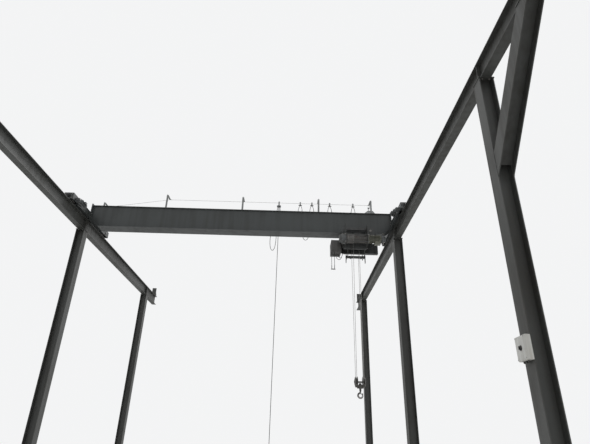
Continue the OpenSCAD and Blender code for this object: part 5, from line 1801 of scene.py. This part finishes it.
def buildBlock(look):
    case = Kit("block_covers", "block_paint", "block")
    headMid = (look["headZ"] + look["headLow"]) / 2
    cover = [(0, 0), (0.1245, 0), (0.125, 0.0012), (0.1205, 0.003), (0.092, 0.0140), (0.0735, 0.0200),
             (0.069, 0.0218), (0.056, 0.0218), (0.052, 0.0190), (0, 0.0190)]
    outline = arc((0, 0), look["coverR"] - 0.0005, -70.3, 250.3, 40) + arc((0, headMid), 0.044, 196.8, 343.2,
                                                                           14)
    for s in (-1, 1):
        case.lathe(cover, atBlock(s * look["coverX"], 0, 0), (s, 0, 0), 56)
        case.at(atBlock(s * look["plateX"], 0, 0), (90, 90, 0)).plate(outline, 0.010, 0.0012)
        # Lower guard strip that keeps the rope in its groove
        strip = arc((0, 0), 0.1238, 205, 335, 26) + arc((0, 0), 0.1208, 335, 205, 26)
        case.at(atBlock(s * look["sheaveX"], 0, 0), (90, 90, 0)).plate(strip, 0.037)
        case.at()
        case.lathe([(0, 0), (0.030, 0), (0.030, 0.018), (0.027, 0.023), (0.014, 0.024), (0, 0.024)],
                   atBlock(s * (look["coverX"] + 0.010), 0, 0), (s, 0, 0), 32)
    case.rod(atBlock(-0.110, 0, 0), atBlock(0.110, 0, 0), 0.0195, 28)
    case.rod(atBlock(-look["halfHead"], 0, headMid), atBlock(look["halfHead"], 0, headMid), 0.042, 40, 0.003)
    case.lathe([(0.0203, 0), (0.034, 0), (0.038, 0.004), (0.038, 0.086), (0.034, 0.090), (0.0203, 0.090)],
               atBlock(0, 0, look["headLow"]), (0, 0, 1), 36, True)
    case.done("hook_block", "block_sheaves")
    sheaves = Kit("turned_sheaves", "drum_steel", "block")
    groove = 0.0997
    for s in (-1, 1):
        profile = [(0.0205, -0.016), (0.040, -0.016), (0.042, -0.012), (0.078, -0.007), (0.088, -0.010),
                   (0.115, -0.014), (0.117, -0.012),
                   (0.1165, -0.0105), (groove + 0.003, -0.0058), (groove, -0.003), (groove, 0.003),
                   (groove + 0.003, 0.0058),
                   (0.1165, 0.0105), (0.117, 0.012), (0.115, 0.014), (0.088, 0.010), (0.078, 0.007),
                   (0.042, 0.012),
                   (0.040, 0.016), (0.0205, 0.016)]
        sheaves.lathe(profile, atBlock(s * look["sheaveX"], 0, 0), (1, 0, 0), 64, True)
    sheaves.done("block_sheaves")
    screws = []
    for s in (-1, 1):
        screws += ringSpots(atBlock(s * (look["coverX"] + 0.014), 0, 0), 0.092, range(30, 360, 60), (s, 0, 0))
    bolts("block_cover_bolts", "m8 head", screws, "block")


buildBlock(blockLook)

hookLook = {"throat": 0.036, "shank": 0.020, "centre": -0.300, "nutZ": -0.060, "hand": -1, "sides": 18,
            "stationDegrees": 7}


def buildHook(look):
    # Stations along the hook's centre line: place in its plane, half width across the section, half thickness
    stations = [
        ((0.0, 0.128), 0.0195, 0.0195), ((0.0, 0.100), 0.0195, 0.0195), ((0.001, 0.082), 0.0200, 0.0195),
        ((0.004, 0.070), 0.0205, 0.0195), ((0.012, 0.058), 0.0208, 0.0190)]
    keys = [(40, 0.0210, 0.0180), (4, 0.0216, 0.0185), (-34, 0.0218, 0.0196), (-80, 0.0212, 0.0199),
            (-126, 0.0196, 0.0190), (-164, 0.0155, 0.0155), (-178, 0.0135, 0.0138)]
    for first, last in zip(keys, keys[1:] + keys[-1:]):
        steps = max(1, round((first[0] - last[0]) / look["stationDegrees"]))
        for k in range(steps):
            angle, wide, thick = [p + (q - p) * k / steps for p, q in zip(first, last)]
            a = math.radians(angle)
            reach = look["throat"] + wide * 0.98
            stations.append(((reach * math.cos(a), reach * math.sin(a)), wide, thick))
    for out, rise, size in ((0.0150, 0.018, 0.0122), (0.0175, 0.034, 0.0105), (0.0200, 0.046, 0.0080),
                            (0.0215, 0.052, 0.0045)):
        stations.append(((-look["throat"] - out, rise), size, size))
    sides = look["sides"]
    hook = Kit("forged_hook", "hook_steel", "hook")
    rows = []
    places = [Vector((p[0] * look["hand"], 0, p[1])) for p, _, _ in stations]
    for i, ((_, wide, thick), place) in enumerate(zip(stations, places)):
        along = (places[min(i + 1, len(places) - 1)] - places[max(i - 1, 0)]).normalized()
        across = Vector((along.z, 0, -along.x)) * look["hand"]
        outline = []
        for k in range(sides):
            a = 2 * math.pi * k / sides
            u, v = math.cos(a), math.sin(a)
            squeeze = 1 - 0.22 * max(0, u) if i > 4 else 1
            outline.append((wide * math.copysign(abs(u) ** 0.86, u),
                            thick * squeeze * math.copysign(abs(v) ** 0.86, v)))
        rows.append((place + Vector(atBlock(0, 0, look["centre"])), across, Vector((0, 1, 0)), outline))
    hook.loft(rows)
    hook.rod(atBlock(0, 0, look["centre"] + 0.12), atBlock(0, 0, look["nutZ"] + 0.033), look["shank"], 28,
             0.002)
    hook.lathe([(0.0202, 0), (0.034, 0), (0.034, 0.006), (0.026, 0.008), (0.026, 0.016), (0.0202, 0.018)],
               atBlock(0, 0, look["centre"] + 0.117), (0, 0, 1), 32, True)
    hook.lathe([(0, 0), (0.0275, 0), (0.032, 0.004), (0.032, 0.024), (0.0275, 0.0285), (0, 0.0285)],
               atBlock(0, 0, look["nutZ"] + 0.0004), (0, 0, 1), 6)
    hook.done("load_hook", sharp=50)
    latch = Kit("hook_latch", "galvanised", "hook", "hook_steel")
    pivot = Vector(atBlock(0.022 * look["hand"], 0, look["centre"] + 0.060))
    tip = Vector(atBlock(-0.040 * look["hand"], 0, look["centre"] + 0.022))
    way = (tip - pivot).normalized()
    lift = Vector((way.z, 0, -way.x)) * look["hand"]
    for s in (-1, 1):
        rows = []
        for t, h in ((0.0, 0.012), (0.15, 0.013), (0.55, 0.011), (0.9, 0.008), (1.0, 0.005)):
            place = pivot + (tip - pivot) * t + Vector((0, s * (0.0215 - 0.012 * t), 0))
            outline = [(-h, -0.0012), (h, -0.0012), (h, 0.0012), (-h, 0.0012)]
            rows.append((place, lift, Vector((0, 1, 0)), outline))
        latch.loft(rows)
    rows = []
    for t, h in ((0.45, 0.011), (0.9, 0.0115), (1.0, 0.0115)):
        place = pivot + (tip - pivot) * t - lift * 0.009
        outline = [(-0.0015, -h), (0.0015, -h), (0.0015, h), (-0.0015, h)]
        rows.append((place, lift, Vector((0, 1, 0)), outline))
    latch.loft(rows)
    latch.rod(pivot - Vector((0, 0.026, 0)), pivot + Vector((0, 0.026, 0)), 0.005, 12, 0.001)
    latch.done()


buildHook(hookLook)
print("block and hook built")


# Plain floor, pale backdrop and soft studio light
stageLook = {
    "floorTone": (0.62, 0.62, 0.61), "floorSize": 90, "floorRough": 0.85, "skyTone": (0.86, 0.87, 0.88),
    "skyStrength": 0.62,
    "backdropTone": (0.90, 0.905, 0.91),
    "keyStrength": 1.9, "keyTurn": (42, 12, 150), "keyAngle": 25,
}


def makeStage(look):
    half = look["floorSize"] / 2
    mesh = bpy.data.meshes.new("floor")
    mesh.from_pydata([(-half, -half, 0), (half, -half, 0), (half, half, 0), (-half, half, 0)], [],
                     [(0, 1, 2, 3)])
    floor = bpy.data.objects.new("floor", mesh)
    bpy.context.collection.objects.link(floor)
    finish = Finish("studio_floor")
    floor.data.materials.append(finish.done(look["floorTone"], look["floorRough"]))
    world = bpy.data.worlds.new("studio")
    bpy.context.scene.world = world
    world.use_nodes = True
    tree = world.node_tree
    light = tree.nodes["Background"]
    light.inputs["Color"].default_value = (*look["skyTone"], 1)
    light.inputs["Strength"].default_value = look["skyStrength"]
    shown = tree.nodes.new("ShaderNodeBackground")
    shown.inputs["Color"].default_value = (*look["backdropTone"], 1)
    shown.inputs["Strength"].default_value = 1.0
    path = tree.nodes.new("ShaderNodeLightPath")
    most, both = [tree.nodes.new("ShaderNodeMath") for _ in range(2)]
    most.operation = both.operation = "MAXIMUM"
    tree.links.new(path.outputs["Is Camera Ray"], both.inputs[0])
    tree.links.new(path.outputs["Is Glossy Ray"], both.inputs[1])
    tree.links.new(both.outputs[0], most.inputs[0])
    tree.links.new(path.outputs["Is Transmission Ray"], most.inputs[1])
    mix = tree.nodes.new("ShaderNodeMixShader")
    tree.links.new(most.outputs[0], mix.inputs[0])
    tree.links.new(light.outputs[0], mix.inputs[1])
    tree.links.new(shown.outputs[0], mix.inputs[2])
    tree.links.new(mix.outputs[0], tree.nodes["World Output"].inputs["Surface"])
    sun = bpy.data.lights.new("key", "SUN")
    sun.energy = look["keyStrength"]
    sun.angle = math.radians(look["keyAngle"])
    lamp = bpy.data.objects.new("key", sun)
    lamp.rotation_euler = [math.radians(a) for a in look["keyTurn"]]
    bpy.context.collection.objects.link(lamp)
    bpy.context.scene.view_settings.view_transform = "Standard"


makeStage(stageLook)
print("stage and lights ready")
